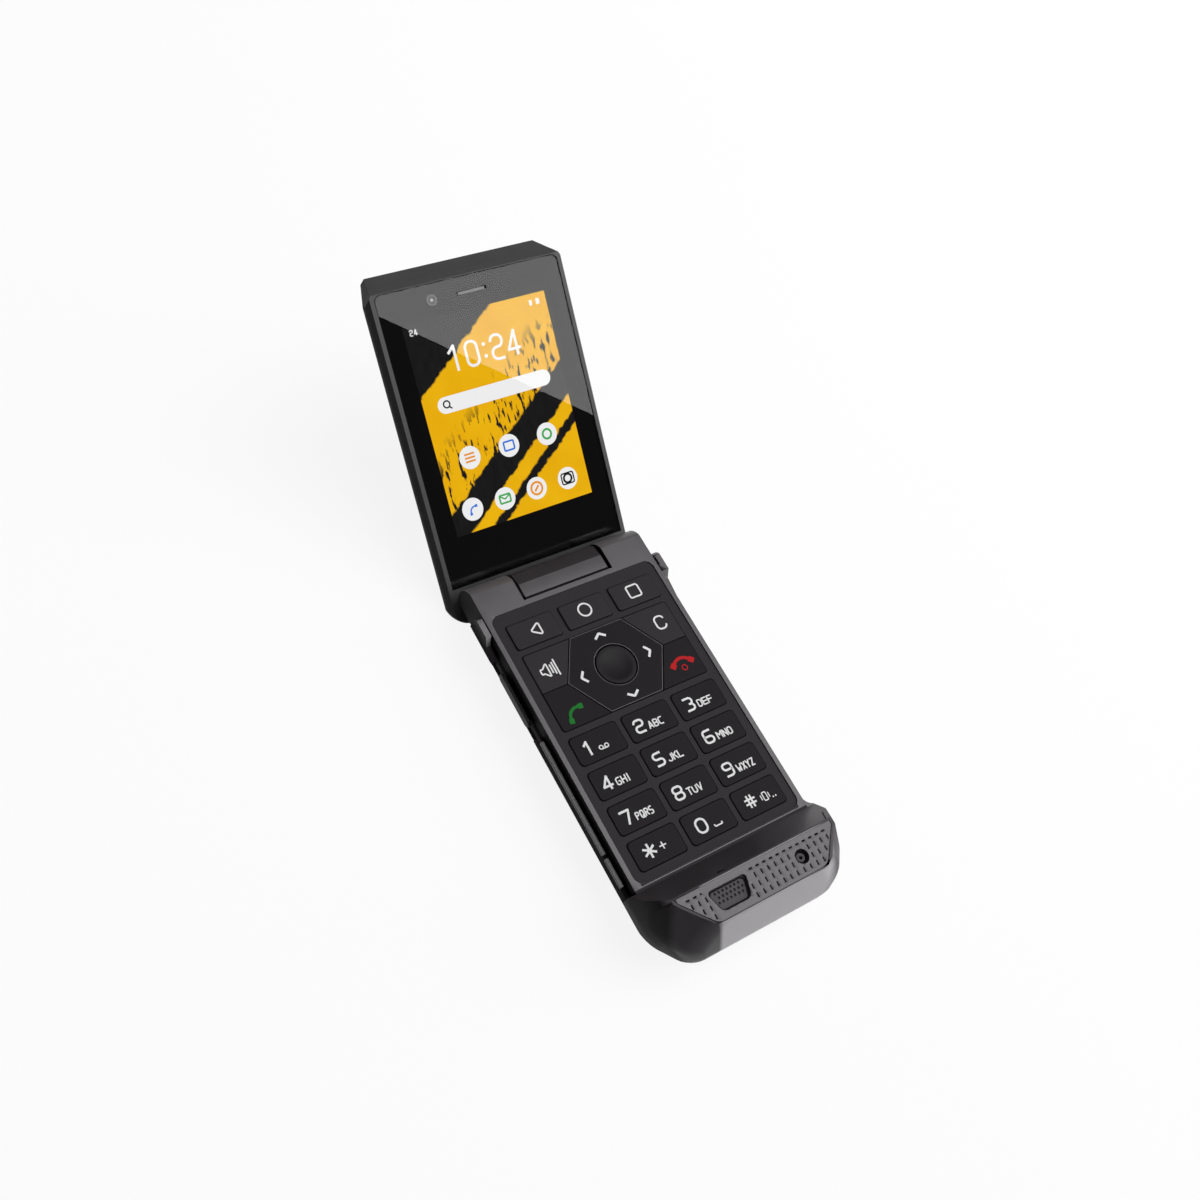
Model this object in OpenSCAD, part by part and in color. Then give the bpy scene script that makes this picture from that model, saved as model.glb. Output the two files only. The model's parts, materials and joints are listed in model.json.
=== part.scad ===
// Rugged flip phone: base with keypad, hinged lid with screen, drawn with the lid at its open stop
// Origin on the back of the base, +Y towards the hinge, +Z up out of the keypad

/* [Base] */
// Width of the base across its side rails
base_w = 58.4; // [53:0.1:66]
// Width of each side rail beside the deck
rail_w = 2.5; // [2.3:0.1:2.8]
// Distance from the origin to the front edge of the deck
deck_front = 30; // [25:0.5:36]
// Length of the deck from its front edge to the hinge axis
deck_l = 84.7; // [79:0.1:94]
// Width of the deck's rim beside the key panel
deck_rim = 1.4; // [1.2:0.1:1.8]
// Width of the dark groove round the deck
deck_groove = 0.6; // [0.4:0.1:0.8]
// Height of the split between the rear shell and the deck frame above the cavity's floor
split_h = 1.4; // [1.2:0.1:1.6]
// Depth of the side rails below the deck
rail_drop = 3.2; // [2.8:0.1:3.6]
// Height of the bevel along the top of the side rails
rail_bevel = 1; // [0.8:0.1:1.2]
// How far each side slopes in below the side rails
side_slope = 4.8; // [4:0.1:5.2]
// Length of each lug beside the hinge
lug_l = 8.5; // [7:0.5:9.5]

/* [Chin] */
// Height of the chin above the deck
chin_h = 10.8; // [9.5:0.1:12]
// Run of the slope between the deck and the top of the chin
chin_slope_run = 6.2; // [5:0.1:7]
// Depth of the chin's flat top
chin_top_d = 10.5; // [9.5:0.1:12]
// How far each side of the chin slopes in up to its flat top
chin_side = 4.8; // [4:0.1:5.4]
// How far the front face leans out below the top
chin_lean = 3.9; // [3:0.1:5]
// Width of each corner facet, measured across the chin at its top edge
chin_facet = 6.8; // [6:0.1:7.5]
// Thickness of the textured insert
insert_t = 0.9; // [0.7:0.1:1.1]

/* [Hinge] */
// Distance from the navigation keys to the hinge axis
nav_to_hinge = 9.35; // [9.2:0.05:11]
// Depth of the hinge axis below the deck
hinge_drop = 6.3; // [6.2:0.1:6.4]
// Radius of the knuckles on the base
knuckle_r = 6.8; // [6.6:0.05:6.8]
// Radius of the lid's barrel between the knuckles
barrel_r = 7.1; // [6.9:0.05:7.2]
// Length of the lid's barrel
barrel_l = 27.2; // [26:0.1:28]
// Angle between the two halves when the lid is open
open_angle = 142.5; // [130:0.5:142.5]
// Radius of the plain hinge pin
pin_r = 1.8; // [1.5:0.1:2.2]
// Radius of the sprung cam unit in the left knuckle
cam_r = 3.1; // [2.8:0.1:3.5]

/* [Lid] */
// Gap between the deck and the closed lid
lid_gap = 0.6; // [0.55:0.05:0.9]
// Depth of the front frame, up to its seam with the rear shell
frame_t = 2.8; // [2.6:0.1:3.2]
// Wall of the lid's rear shell
lid_wall = 1.6; // [1.4:0.1:2]
// Width of the front frame beside the screen glass
glass_side = 2.2; // [2:0.1:2.6]
// Thickness of the screen glass
glass_t = 1.1; // [0.9:0.1:1.2]
// Width of the glass beside the display's picture
display_side = 5.65; // [5:0.05:7]
// Length of the display's picture
display_l = 56.9; // [54:0.1:58]
// Radius of the lid's corners beside the hinge
lid_corner_r = 5.5; // [4:0.5:6]

/* [Keys] */
// Margin between the outer keys and the edge of the panel
key_margin = 2.7; // [2.4:0.1:3.2]
// Gap between columns of keys
column_gap = 1.9; // [1.7:0.1:2.4]
// Corner radius of a number key
num_r = 1.2; // [0.8:0.1:1.6]
// Gap between rows of number keys
row_gap = 2.15; // [1.8:0.05:2.6]
// Distance from the front edge of the deck to the first row of keys
front_gap = 3.3; // [3:0.1:4]
// Length of a navigation key
nav_l = 7.2; // [6.5:0.1:8]
// Gap between the middle block and the navigation keys
nav_gap = 2.05; // [1.8:0.05:2.6]
// Gap between the middle block and the number keys
block_gap = 2.35; // [1.8:0.05:2.8]
// Length of the block of keys round the rocking plate
block_l = 22.8; // [22:0.1:25]
// Width of the hexagonal rocking plate
hex_w = 29.6; // [28:0.1:31]
// Width of the rocking plate's flat sides
hex_flat = 16; // [14:0.1:17]
// Radius of the round centre key
ok_r = 5.6; // [5:0.1:6]
// Gap between a key and the panel
key_gap = 0.25; // [0.2:0.05:0.3]
// Travel of a key
key_travel = 0.35; // [0.2:0.05:0.4]
// Height of the pads under the keys
pad_h = 0.95; // [0.8:0.05:1.2]

/* [Battery and back cover] */
// Distance from the battery to the edge of the flat back
battery_side = 2.6; // [2.4:0.1:4]
// Thickness of the battery
battery_t = 5.4; // [4.8:0.1:6.2]
// Distance from the front edge of the deck to the battery bay
bay_front = 10; // [9:0.5:13]
// Distance from the back cover to the hinge
cover_end = 5.1; // [4.5:0.1:7]
// Thickness of the back cover
cover_t = 1.4; // [1.2:0.1:1.6]
// Radius of the quarter-turn lock
lock_r = 4; // [3.5:0.1:4.3]

/* [Side controls] */
// Length of the volume rocker
rocker_l = 16; // [14:0.5:18]
// Length of the side key
side_key_l = 10; // [9:0.5:12]
// Height of both side controls
side_key_h = 3; // [2.6:0.1:3.2]
// Distance from the side controls to the hinge end of the side rails
side_key_back = 23.5; // [22.5:0.5:25]

/* [Fits] */
// Clearance between pieces that move past each other
run_gap = 0.3; // [0.2:0.05:0.35]
// Radial clearance of the hinge shafts
shaft_gap = 0.05; // [0.02:0.01:0.08]
// Clearance round pieces that are set into a recess
seat_gap = 0.1; // [0.05:0.05:0.15]

/* [Hidden] */
$fn = 48;
big = 200;

// Levels inside the base, from the back to the key tops
floor_t = 1;
bay_z1 = cover_t + 0.5 + battery_t + seat_gap;
floor_z = bay_z1 + floor_t;
split_z = floor_z + split_h;
shield_h = 1.3;
board_z = floor_z + shield_h;
board_t = 0.8;
dome_t = 0.3;
mat_z = board_z + board_t + dome_t;
mat_t = 0.5;
pad_z = mat_z + pad_h;
flange_t = 0.55;
flange_z = pad_z + key_travel + 0.1;
panel_t = 1.25;
panel_z = flange_z + flange_t + 0.1;
deck_z = panel_z + panel_t + 0.3;
key_z = deck_z - 0.05;
nav_z = deck_z + 0.15;
rail_z = deck_z - rail_drop;
ridge_z = rail_z - rail_bevel;
chin_z = deck_z + chin_h;
hinge_z = deck_z - hinge_drop;

// Main places across the phone
rail_x = base_w / 2;
back_w = base_w - 2 * side_slope;
deck_x = rail_x - rail_w;
groove_x = deck_x + deck_groove;
panel_x = deck_x - deck_rim;
chin_top_w = base_w - 2 * chin_side;
chin_face_w = chin_top_w - 2 * chin_facet;
slot_x = barrel_l / 2 + run_gap;
slot_r = barrel_r + run_gap;
wall = 1.2;

// Rows and columns of keys
deck_y0 = -deck_front;
hinge_y = deck_y0 + deck_l;
nav_y = hinge_y - nav_to_hinge - nav_l / 2;
hex_y = nav_y - nav_l / 2 - nav_gap - block_l / 2;
num_y0 = deck_y0 + front_gap;
num_y1 = hex_y - block_l / 2 - block_gap;
num_l = (num_y1 - num_y0 - 3 * row_gap) / 4;
num_w = (2 * panel_x - 2 * key_margin - 2 * column_gap) / 3;
key_pitch_x = num_w + column_gap;
row_y = [for (i = [0 : 3]) num_y0 + num_l / 2 + i * (num_l + row_gap)];
flange = 0.6;
split_gap = 0.3;
nav_w = num_w - 0.4;
block_w = 2 * key_pitch_x + nav_w;

// Main places along the phone
tub_y1 = hinge_y - slot_r - 0.3;
rail_y1 = hinge_y - 3.7;
chin_foot_y = deck_y0 - deck_groove;
chin_back_y = chin_foot_y - chin_slope_run;
chin_edge_y = chin_back_y - chin_top_d;
chin_front_y = chin_edge_y - chin_lean;

// The cavity of the base and the panel above it
cav_x = deck_x - 2;
cav_y0 = deck_y0 + wall;
cav_y1 = tub_y1 - wall;
ledge_x = deck_x - 2.5;
panel_y0 = deck_y0 + deck_rim / 2;
panel_y1 = hinge_y - 5.4;
panel_r = 2.6;

// The back cover, its lock and the screws
battery_w = back_w - 2 * battery_side;
bay_x = battery_w / 2 + 0.4;
bay_y0 = deck_y0 + bay_front;
cover_x = bay_x + 1.3;
cover_y0 = bay_y0 - 1.9;
cover_y1 = tub_y1 - cover_end;
lock_room = 12.9;
bay_y1 = cover_y1 - lock_room;
battery_l = bay_y1 - bay_y0 - 1;
cover_r = 3;
lock_y = bay_y1 + 7.6;
lock_pocket_r = lock_r + 2.1;
tongue_t = 0.8;
seal_w = 0.8;
seal_t = 0.5;
screw_r = 0.8;
screw_head_r = 1.6;
boss_r = 2.1;
screw_places = [[deck_x - 10.7, deck_y0 + 3.2], [deck_x - 4.3, tub_y1 - 3]];

// Side controls, whose recesses are as deep as the groove round the deck
side_key_y = rail_y1 - side_key_back;
recess_x = groove_x;
recess_z = ridge_z - 2.6;
control_x = rail_x - 0.6;
side_z = ridge_z - 0.3;
plunger_z = floor_z + 0.3;
plunger_h = 0.8;
switch_x = cav_x - 0.4;

// The port and its flap, which lies in the sloping side of the base
taper = atan2(rail_x - back_w / 2, ridge_z);
port_y = deck_y0 + 5.4;
port_w = 8.9;
port_h = 3.2;
port_d = 7;
port_z = floor_z - 0.1 - port_h;
flap_recess = 1.4;
flap_in = flap_recess - 0.35;
flap_t = 0.95;
flap_h = 5.6;
flap_w0 = (port_z + port_h / 2 - flap_recess * sin(taper)) / cos(taper) - flap_h / 2;
flap_y0 = port_y - port_w / 2 - 1.3;
flap_y1 = port_y + port_w / 2 + 1.5;
flap_hinge_r = 0.45;
flap_hinge_y = flap_y1 + 0.4;
flap_hinge_in = 0.6;
port_x = back_w / 2 - flap_recess * cos(taper) + (port_z - flap_recess * sin(taper)) * tan(taper) - 0.2;

// Levels and places of the lid, drawn closed and then swung open
lid_in_z = deck_z + lid_gap;
glass_z = lid_in_z + 0.15;
glass_back_z = glass_z + glass_t;
seam_z = lid_in_z + frame_t;
lid_x = rail_x;
glass_w = 2 * lid_x - 2 * glass_side;
display_w = glass_w - 2 * display_side;
slope_rate = chin_slope_run / chin_h;
end_gap = 0.4;
function lid_end_y(z) = chin_foot_y - (z - deck_z) * slope_rate + end_gap;
heel_r = hinge_z - 0.25;
tilt = 180 - open_angle;
function heel_y(z) = hinge_y + (heel_r - (z - hinge_z) * cos(tilt)) / sin(tilt);
lid_tip_y = heel_y(lid_in_z);
glass_y0 = lid_end_y(lid_in_z) + 0.35;
glass_y1 = hinge_y - 6.3;
display_y = glass_y0 + 8.7 + display_l / 2;
panel_border = 1.4;
ear_y = glass_y0 + 4.2;
ear_l = 8.6;
camera_x = -11.2;
camera_r = 1.9;
out_w = 34;
out_l = 46;
out_y = 4;
out_glass_t = 1;
out_display_w = 27;
rear_camera_r = 3;
rear_camera_y = out_y + out_l / 2 - 7;
lid_screw_x = glass_w / 2 - 1.7;
lid_screw_end = 13;
lid_screw_places = [[lid_screw_x, glass_y0 + lid_screw_end], [lid_screw_x, glass_y1 - lid_screw_end]];

// The speaker window and the microphone in the chin
win_x = 7.7 - chin_face_w / 2;
win_y = (chin_back_y + chin_edge_y) / 2;
win_l = 5.8;
win_half_back = 5.9;
win_half_front = 4.2;
mic_x = chin_face_w / 2 - 6.1;
insert_z = chin_z - insert_t;
mesh_t = 0.4;
chin_cav_x = chin_face_w / 2 - 0.1;
chin_cav_z1 = insert_z - mesh_t - 1.3;
insert_margin = 0.9;

// Helpers
function mirrored(half) = concat(half, [for (i = [len(half) - 1 : -1 : 0]) [-half[i][0], half[i][1]]]);

// A section drawn in x and z, carried from y0 to y1
module along_y(y0, y1) {
  translate([0, y1, 0])
    rotate([90, 0, 0])
      linear_extrude(y1 - y0)
        children();
}

// A profile drawn in y and z, carried from x0 to x1
module along_x(x0, x1) {
  translate([x0, 0, 0])
    rotate([90, 0, 90])
      linear_extrude(x1 - x0)
        children();
}

// A plan drawn in x and y, carried from z0 to z1
module slab(z0, z1) {
  translate([0, 0, z0])
    linear_extrude(z1 - z0)
      children();
}

module block(x0, x1, y0, y1, z0, z1) {
  translate([x0, y0, z0])
    cube([x1 - x0, y1 - y0, z1 - z0]);
}

// A rectangle with round corners
module round_rect(x0, x1, y0, y1, r) {
  translate([x0 + r, y0])
    square([x1 - x0 - 2 * r, y1 - y0]);
  translate([x0, y0 + r])
    square([x1 - x0, y1 - y0 - 2 * r]);
  for (x = [x0 + r, x1 - r], y = [y0 + r, y1 - r])
    translate([x, y])
      circle(r);
}

// A round bar on the hinge axis
module axis_bar(x0, x1, r) {
  translate([x0, hinge_y, hinge_z])
    rotate([0, 90, 0])
      cylinder(r = r, h = x1 - x0);
}

module both_sides() {
  children();
  mirror([1, 0, 0])
    children();
}

// Swings what is drawn closed to the open stop
module lid_pose() {
  translate([0, hinge_y, hinge_z])
    rotate([-open_angle, 0, 0])
      translate([0, -hinge_y, -hinge_z])
        children();
}

// Outer shapes of the base
module tub_section() {
  polygon(mirrored([[back_w / 2, 0], [rail_x, ridge_z], [rail_x - 0.8, rail_z]]));
}

module chin_section() {
  polygon(mirrored([[back_w / 2, 0], [rail_x, ridge_z], [rail_x, deck_z - 1], [rail_x - 1.2, deck_z + 5],
    [chin_top_w / 2, chin_z]]));
}

module chin_profile() {
  polygon([[chin_foot_y, 0], [chin_front_y + 4.8, 0], [chin_front_y, ridge_z - 1],
    [chin_front_y, deck_z - 1.4], [chin_edge_y, chin_z], [chin_back_y, chin_z], [chin_foot_y, deck_z]]);
}

// Facets across the chin's front corners, leaning out below the top and upright further down
facet_top = [chin_top_w / 2, chin_back_y - 1.3];
facet_run = [facet_top[0] - chin_face_w / 2, facet_top[1] - chin_edge_y];
facet_turn = -atan2(facet_run[0], facet_run[1]);
facet_lean = 33;
facet_out = 5.7;

module chin_corner() {
  translate([facet_top[0], facet_top[1], chin_z])
    rotate([0, 0, facet_turn]) {
      rotate([0, -facet_lean, 0])
        block(0, big, -big, big, -big, big);
      block(facet_out, big, -big, big, -big, big);
      translate([facet_out, 0, ridge_z - chin_z])
        rotate([0, taper, 0])
          block(0, big, -big, big, -big, big);
    }
}

// Frame of the right side: x out of the sloping wall, z up along it from the back's edge
module on_wall() {
  translate([back_w / 2, 0, 0])
    rotate([0, taper, 0])
      children();
}

module chin_solid() {
  difference() {
    intersection() {
      along_y(chin_front_y, chin_foot_y)
        chin_section();
      along_x(-rail_x, rail_x)
        chin_profile();
    }
    both_sides()
      chin_corner();
  }
}

module lug() {
  along_x(groove_x, rail_x - 0.7)
    polygon([[rail_y1 - lug_l, rail_z - 2], [rail_y1, rail_z - 2], [rail_y1, deck_z - 1.2],
      [rail_y1 - 1, deck_z - 0.2], [rail_y1 - lug_l + 2.2, deck_z - 0.2]]);
}

// Outline of the textured insert on the chin's top
module insert_outline(gap) {
  half_w = chin_top_w / 2 - insert_margin - gap;
  half_face = chin_face_w / 2 - insert_margin - gap;
  y0 = chin_edge_y + 0.6 + gap;
  y1 = chin_back_y - 0.5 - gap;
  polygon([[-half_w, y1], [half_w, y1], [half_w, facet_top[1] - 0.3], [half_face, y0], [-half_face, y0],
    [-half_w, facet_top[1] - 0.3]]);
}

module window_outline(grow) {
  y0 = win_y - win_l / 2 - grow;
  y1 = win_y + win_l / 2 + grow;
  polygon([[win_x - win_half_back - grow, y1], [win_x + win_half_back + grow, y1],
    [win_x + win_half_front + grow, y0], [win_x - win_half_front - grow, y0]]);
}

// Flat shape with round ends, standing in the y z plane
module side_stadium(x0, x1, y, len, h) {
  r = h / 2;
  along_x(x0, x1) {
    translate([y - len / 2 + r, side_z - r])
      square([len - h, h]);
    for (end = [y - len / 2 + r, y + len / 2 - r])
      translate([end, side_z])
        circle(r);
  }
}

// Base: rear shell with the chin, the side rails and the battery bay
module rear_shell_cuts() {
  // Room for the deck and the hinge
  block(-groove_x, groove_x, chin_foot_y, big, split_z, big);
  block(-groove_x, groove_x, tub_y1, big, -1, big);
  // Cavity under the board, and the one in the chin
  block(-cav_x, cav_x, cav_y0, cav_y1, floor_z, split_z + 1);
  along_x(-chin_cav_x, chin_cav_x)
    polygon([[chin_edge_y + 1.7, floor_z], [chin_edge_y + 1.7, chin_cav_z1], [chin_back_y - 1.6, chin_cav_z1],
      [chin_foot_y - 2.4, deck_z - 1.6], [chin_foot_y - 2.4, split_z - 0.2], [cav_y0 + 1, split_z - 0.2],
      [cav_y0 + 1, floor_z]]);
  // Battery bay, back cover, seal groove and lock pocket
  block(-bay_x, bay_x, bay_y0, bay_y1, -1, bay_z1);
  slab(-1, cover_t)
    round_rect(-cover_x - seat_gap, cover_x + seat_gap, cover_y0 - seat_gap, cover_y1 + seat_gap, cover_r);
  slab(cover_t - 0.1, cover_t + seal_t)
    round_rect(-bay_x - seal_w, bay_x + seal_w, bay_y0 - seal_w, bay_y1 + seal_w, 1);
  translate([0, lock_y, 0]) {
    translate([0, 0, cover_t + seal_t])
      cylinder(r = lock_pocket_r, h = tongue_t + 0.25);
    block(-lock_pocket_r, lock_pocket_r, -2.1, 2.1, cover_t - 0.1, cover_t + seal_t + 0.1);
  }
  // Screws from the back
  both_sides()
    for (p = screw_places)
      translate([p[0], p[1], -1]) {
        cylinder(r = screw_r, h = split_z + 2);
        cylinder(r = screw_head_r + seat_gap, h = 2.2);
      }
  // Insert, speaker window and microphone hole on the chin
  slab(insert_z, chin_z + 1)
    insert_outline(0);
  slab(insert_z - mesh_t, chin_z)
    window_outline(0.5);
  slab(chin_cav_z1 - 1, chin_z)
    window_outline(-0.6);
  translate([mic_x, win_y, chin_cav_z1 - 1])
    cylinder(r = 0.5, h = 5);
  // Recess of the rocker on the left, and the slots behind it
  block(-big, -recess_x, side_key_y - rocker_l / 2 - 4, side_key_y + rocker_l / 2 + 4, recess_z, big);
  for (dy = [-rocker_l / 3, 0, rocker_l / 3])
    block(-rail_x, -cav_x + 0.1, side_key_y + dy - 1.2, side_key_y + dy + 1.2, floor_z, split_z + 1);
  // Recess of the side key on the right, and the slot behind it
  block(recess_x, big, side_key_y - side_key_l / 2 - 3, side_key_y + side_key_l / 2 + 3, recess_z, big);
  block(cav_x - 0.1, rail_x, side_key_y - 1.2, side_key_y + 1.2, floor_z, split_z + 1);
  // Port and the recess of its flap
  on_wall()
    block(-flap_recess, big, flap_y0 - 0.4, flap_hinge_y + flap_hinge_r + 0.4,
      flap_w0 - 0.4, flap_w0 + flap_h + 0.4);
  block(port_x - port_d - seat_gap, port_x + 2,
    port_y - port_w / 2 - seat_gap, port_y + port_w / 2 + seat_gap, port_z, floor_z + 0.1);
  // Slot for a wrist strap in the right lug
  block(groove_x - 0.1, groove_x + 0.7, rail_y1 - 4.2, rail_y1 - 1.8, rail_z - 1, big);
  block(groove_x - 0.1, big, rail_y1 - 4.2, rail_y1 - 1.8, rail_z - 1, rail_z + 0.4);
}

module rear_shell() {
  color([0.12, 0.12, 0.125])
    difference() {
      union() {
        along_y(chin_foot_y - 1, rail_y1)
          tub_section();
        chin_solid();
        both_sides()
          lug();
      }
      rear_shell_cuts();
    }
}

// Base: deck frame with the knuckles
module knuckle() {
  x0 = slot_x;
  difference() {
    union() {
      axis_bar(x0, deck_x, knuckle_r);
      block(x0, deck_x, tub_y1 + 0.05, hinge_y, hinge_z - knuckle_r, deck_z);
    }
    block(0, big, 0, big, deck_z, big);
  }
}

module deck_frame() {
  color([0.36, 0.36, 0.37])
    difference() {
      union() {
        block(-deck_x, deck_x, deck_y0, hinge_y - 2, split_z, deck_z);
        both_sides()
          knuckle();
      }
      difference() {
        block(-ledge_x, ledge_x, cav_y0 + 0.3, cav_y1 + 0.5, split_z - 1, panel_z + 0.1);
        both_sides()
          for (p = screw_places)
            translate([p[0], p[1], split_z - 1])
              cylinder(r = boss_r, h = mat_z - split_z + 1.5);
      }
      slab(panel_z, big)
        round_rect(-panel_x, panel_x, panel_y0, panel_y1, panel_r);
      axis_bar(-slot_x, slot_x, slot_r);
      both_sides()
        for (p = screw_places)
          translate([p[0], p[1], 0])
            cylinder(r = screw_r, h = mat_z + 0.2);
      axis_bar(-deck_x + 0.7, 0, cam_r);
      axis_bar(0, deck_x - 2.7, pin_r);
    }
}

// Outlines of the keys
module key_rect(x, y, half_w, half_l, r) {
  round_rect(x - half_w, x + half_w, y - half_l, y + half_l, r);
}

module num_outline(x, y, grow) {
  key_rect(x, y, num_w / 2 + grow, num_l / 2 + grow, num_r);
}

module nav_outline(x, grow) {
  key_rect(x, nav_y, nav_w / 2 + grow, nav_l / 2 + grow, 0.8);
}

module block_outline(grow) {
  key_rect(0, hex_y, block_w / 2 + grow, block_l / 2 + grow, 1);
}

// Hexagon of the rocking plate; reach carries its flat sides under the panel
module hex_outline(grow, reach) {
  top = block_l / 2 + reach;
  half = [[hex_flat / 2 + grow, -top], [hex_flat / 2 + grow, -block_l / 2], [hex_w / 2 + grow, 0],
    [hex_flat / 2 + grow, block_l / 2], [hex_flat / 2 + grow, top]];
  translate([0, hex_y])
    polygon(mirrored(half));
}

// One of the four keys in the corners of the block; sx and sy are the signs of its corner
module corner_outline(sx, sy, reach) {
  intersection() {
    difference() {
      block_outline(reach);
      hex_outline(split_gap, reach + 1);
    }
    translate([sx > 0 ? 0 : -big, hex_y + (sy > 0 ? split_gap / 2 : -big - split_gap / 2)])
      square([big, big]);
  }
}

module keypad_panel() {
  color([0.1, 0.1, 0.105])
    difference() {
      slab(panel_z, panel_z + panel_t)
        round_rect(-panel_x + seat_gap / 2, panel_x - seat_gap / 2, panel_y0 + seat_gap / 2,
          panel_y1 - seat_gap / 2, panel_r);
      slab(panel_z - 1, big) {
        for (x = [-key_pitch_x, 0, key_pitch_x]) {
          for (y = row_y)
            num_outline(x, y, key_gap);
          nav_outline(x, key_gap);
        }
        block_outline(key_gap);
      }
      axis_bar(-slot_x, slot_x, slot_r);
    }
}

// Body of a key with a retaining flange under the panel
module keycap(top_z) {
  color([0.16, 0.16, 0.165]) {
    slab(flange_z, top_z)
      children(0);
    slab(flange_z, flange_z + flange_t)
      children(1);
  }
}

module num_key(col, row) {
  keycap(key_z) {
    num_outline((col - 1) * key_pitch_x, row_y[row], 0);
    num_outline((col - 1) * key_pitch_x, row_y[row], flange);
  }
}

module nav_key(col) {
  keycap(nav_z) {
    nav_outline((col - 1) * key_pitch_x, 0);
    nav_outline((col - 1) * key_pitch_x, flange);
  }
}

module corner_key(sx, sy) {
  keycap(key_z) {
    corner_outline(sx, sy, 0);
    corner_outline(sx, sy, flange);
  }
}

// Rocking plate: tilts left and right on the pivot ring, which tilts up and down
dpad_z = flange_z - 0.1;
dpad_flange_t = 0.2;
pivot_r = ok_r + 3.2;
pivot_t = 0.55;
arm_l = 1.2;
arm_half = 0.7;
arm_reach = pivot_r + arm_l + run_gap;
module dpad_plate() {
  color([0.16, 0.16, 0.165])
    difference() {
      union() {
        slab(dpad_z, key_z)
          hex_outline(0, 0);
        slab(dpad_z, dpad_z + dpad_flange_t)
          hex_outline(0, flange);
      }
      translate([0, hex_y, 0]) {
        cylinder(r = ok_r + split_gap, h = big);
        cylinder(r = pivot_r + run_gap, h = dpad_z + 1.05);
      }
      block(-arm_half - run_gap, arm_half + run_gap, hex_y - arm_reach, hex_y + arm_reach, 0, dpad_z + 0.9);
    }
}

module dpad_pivot() {
  color([0.55, 0.55, 0.57])
    translate([0, hex_y, 0])
      difference() {
        union() {
          translate([0, 0, flange_z])
            cylinder(r = pivot_r, h = pivot_t);
          block(-arm_half, arm_half, -pivot_r - arm_l, pivot_r + arm_l, flange_z + 0.15, flange_z + 0.5);
        }
        cylinder(r = ok_r + flange + split_gap, h = big);
      }
}

// Round centre key with a shallow dish
dish_r = 22;
dish_d = 0.55;
module ok_key() {
  color([0.16, 0.16, 0.165])
    difference() {
      translate([0, hex_y, flange_z]) {
        cylinder(r = ok_r, h = key_z - flange_z);
        cylinder(r = ok_r + flange, h = flange_t);
      }
      translate([0, hex_y, key_z - dish_d + dish_r])
        sphere(r = dish_r, $fn = 96);
    }
}

// Sheets behind the keys, kept clear of the screw bosses
module sheet_outline(inset) {
  x = ledge_x - 0.5 - inset;
  y0 = screw_places[0][1] + boss_r + 0.3 + inset;
  y1 = screw_places[1][1] - boss_r - 0.3;
  translate([-x, y0])
    square([2 * x, y1 - y0]);
  x1 = screw_places[1][0] - boss_r - 0.3;
  translate([-x1, y1 - 0.1])
    square([2 * x1, cav_y1 - y1 - inset]);
}

module pad(x, y, r) {
  translate([x, y, mat_z])
    cylinder(r = r, h = pad_z - mat_z);
}

module key_mat() {
  color([0.75, 0.75, 0.74]) {
    slab(mat_z, mat_z + mat_t)
      sheet_outline(0.2);
    for (x = [-key_pitch_x, 0, key_pitch_x]) {
      for (y = row_y)
        pad(x, y, 1.6);
      pad(x, nav_y, 1.6);
    }
    for (sx = [-1, 1], sy = [-1, 1])
      pad(sx * block_w * 0.4, hex_y + sy * block_l * 0.28, 1.6);
    pad(0, hex_y, 1.6);
  }
}

module dome_sheet() {
  color([0.8, 0.78, 0.7])
    slab(board_z + board_t, mat_z)
      sheet_outline(0.4);
}

module main_board() {
  color([0.05, 0.3, 0.16])
    slab(board_z, board_z + board_t)
      sheet_outline(0);
}

module shield_cans() {
  x0 = 1.5;
  x1 = ledge_x - 5.2;
  color([0.72, 0.73, 0.74])
    both_sides() {
      block(x0, x1, row_y[0] + num_l / 2, row_y[2], floor_z, board_z);
      block(x0, x1, row_y[3] - num_l / 2, hex_y, floor_z, board_z);
    }
}

module battery_pack() {
  color([0.2, 0.22, 0.26])
    slab(bay_z1 - battery_t, bay_z1)
      round_rect(-battery_w / 2, battery_w / 2, bay_y0 + 0.5, bay_y0 + 0.5 + battery_l, 1.5);
}

module battery_cover() {
  color([0.13, 0.13, 0.135])
    difference() {
      slab(0, cover_t)
        round_rect(-cover_x, cover_x, cover_y0, cover_y1, cover_r);
      translate([0, lock_y, -1])
        cylinder(r = lock_r + shaft_gap, h = cover_t + 2);
    }
}

module cover_seal() {
  seal_out = seal_w - 0.05;
  color([0.5, 0.2, 0.15])
    difference() {
      slab(cover_t, cover_t + seal_t)
        round_rect(-bay_x - seal_out, bay_x + seal_out, bay_y0 - seal_out, bay_y1 + seal_out, 1);
      slab(0, big)
        round_rect(-bay_x + 0.05, bay_x - 0.05, bay_y0 + 0.05, bay_y1 - 0.05, 0.5);
    }
}

module cover_lock() {
  tongue_l = lock_pocket_r - 0.4;
  color([0.5, 0.5, 0.52])
    translate([0, lock_y, 0])
      difference() {
        union() {
          translate([0, 0, 0.1])
            cylinder(r = lock_r, h = cover_t - 0.15);
          cylinder(r = 1.8, h = cover_t + seal_t + tongue_t + 0.1);
          block(-1.4, 1.4, -tongue_l, tongue_l, cover_t + seal_t + 0.1, cover_t + seal_t + tongue_t + 0.1);
        }
        block(-lock_r * 0.75, lock_r * 0.75, -0.5, 0.5, -1, 0.7);
        block(-big, big, -big, big, -1, 0.1);
      }
}

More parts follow.
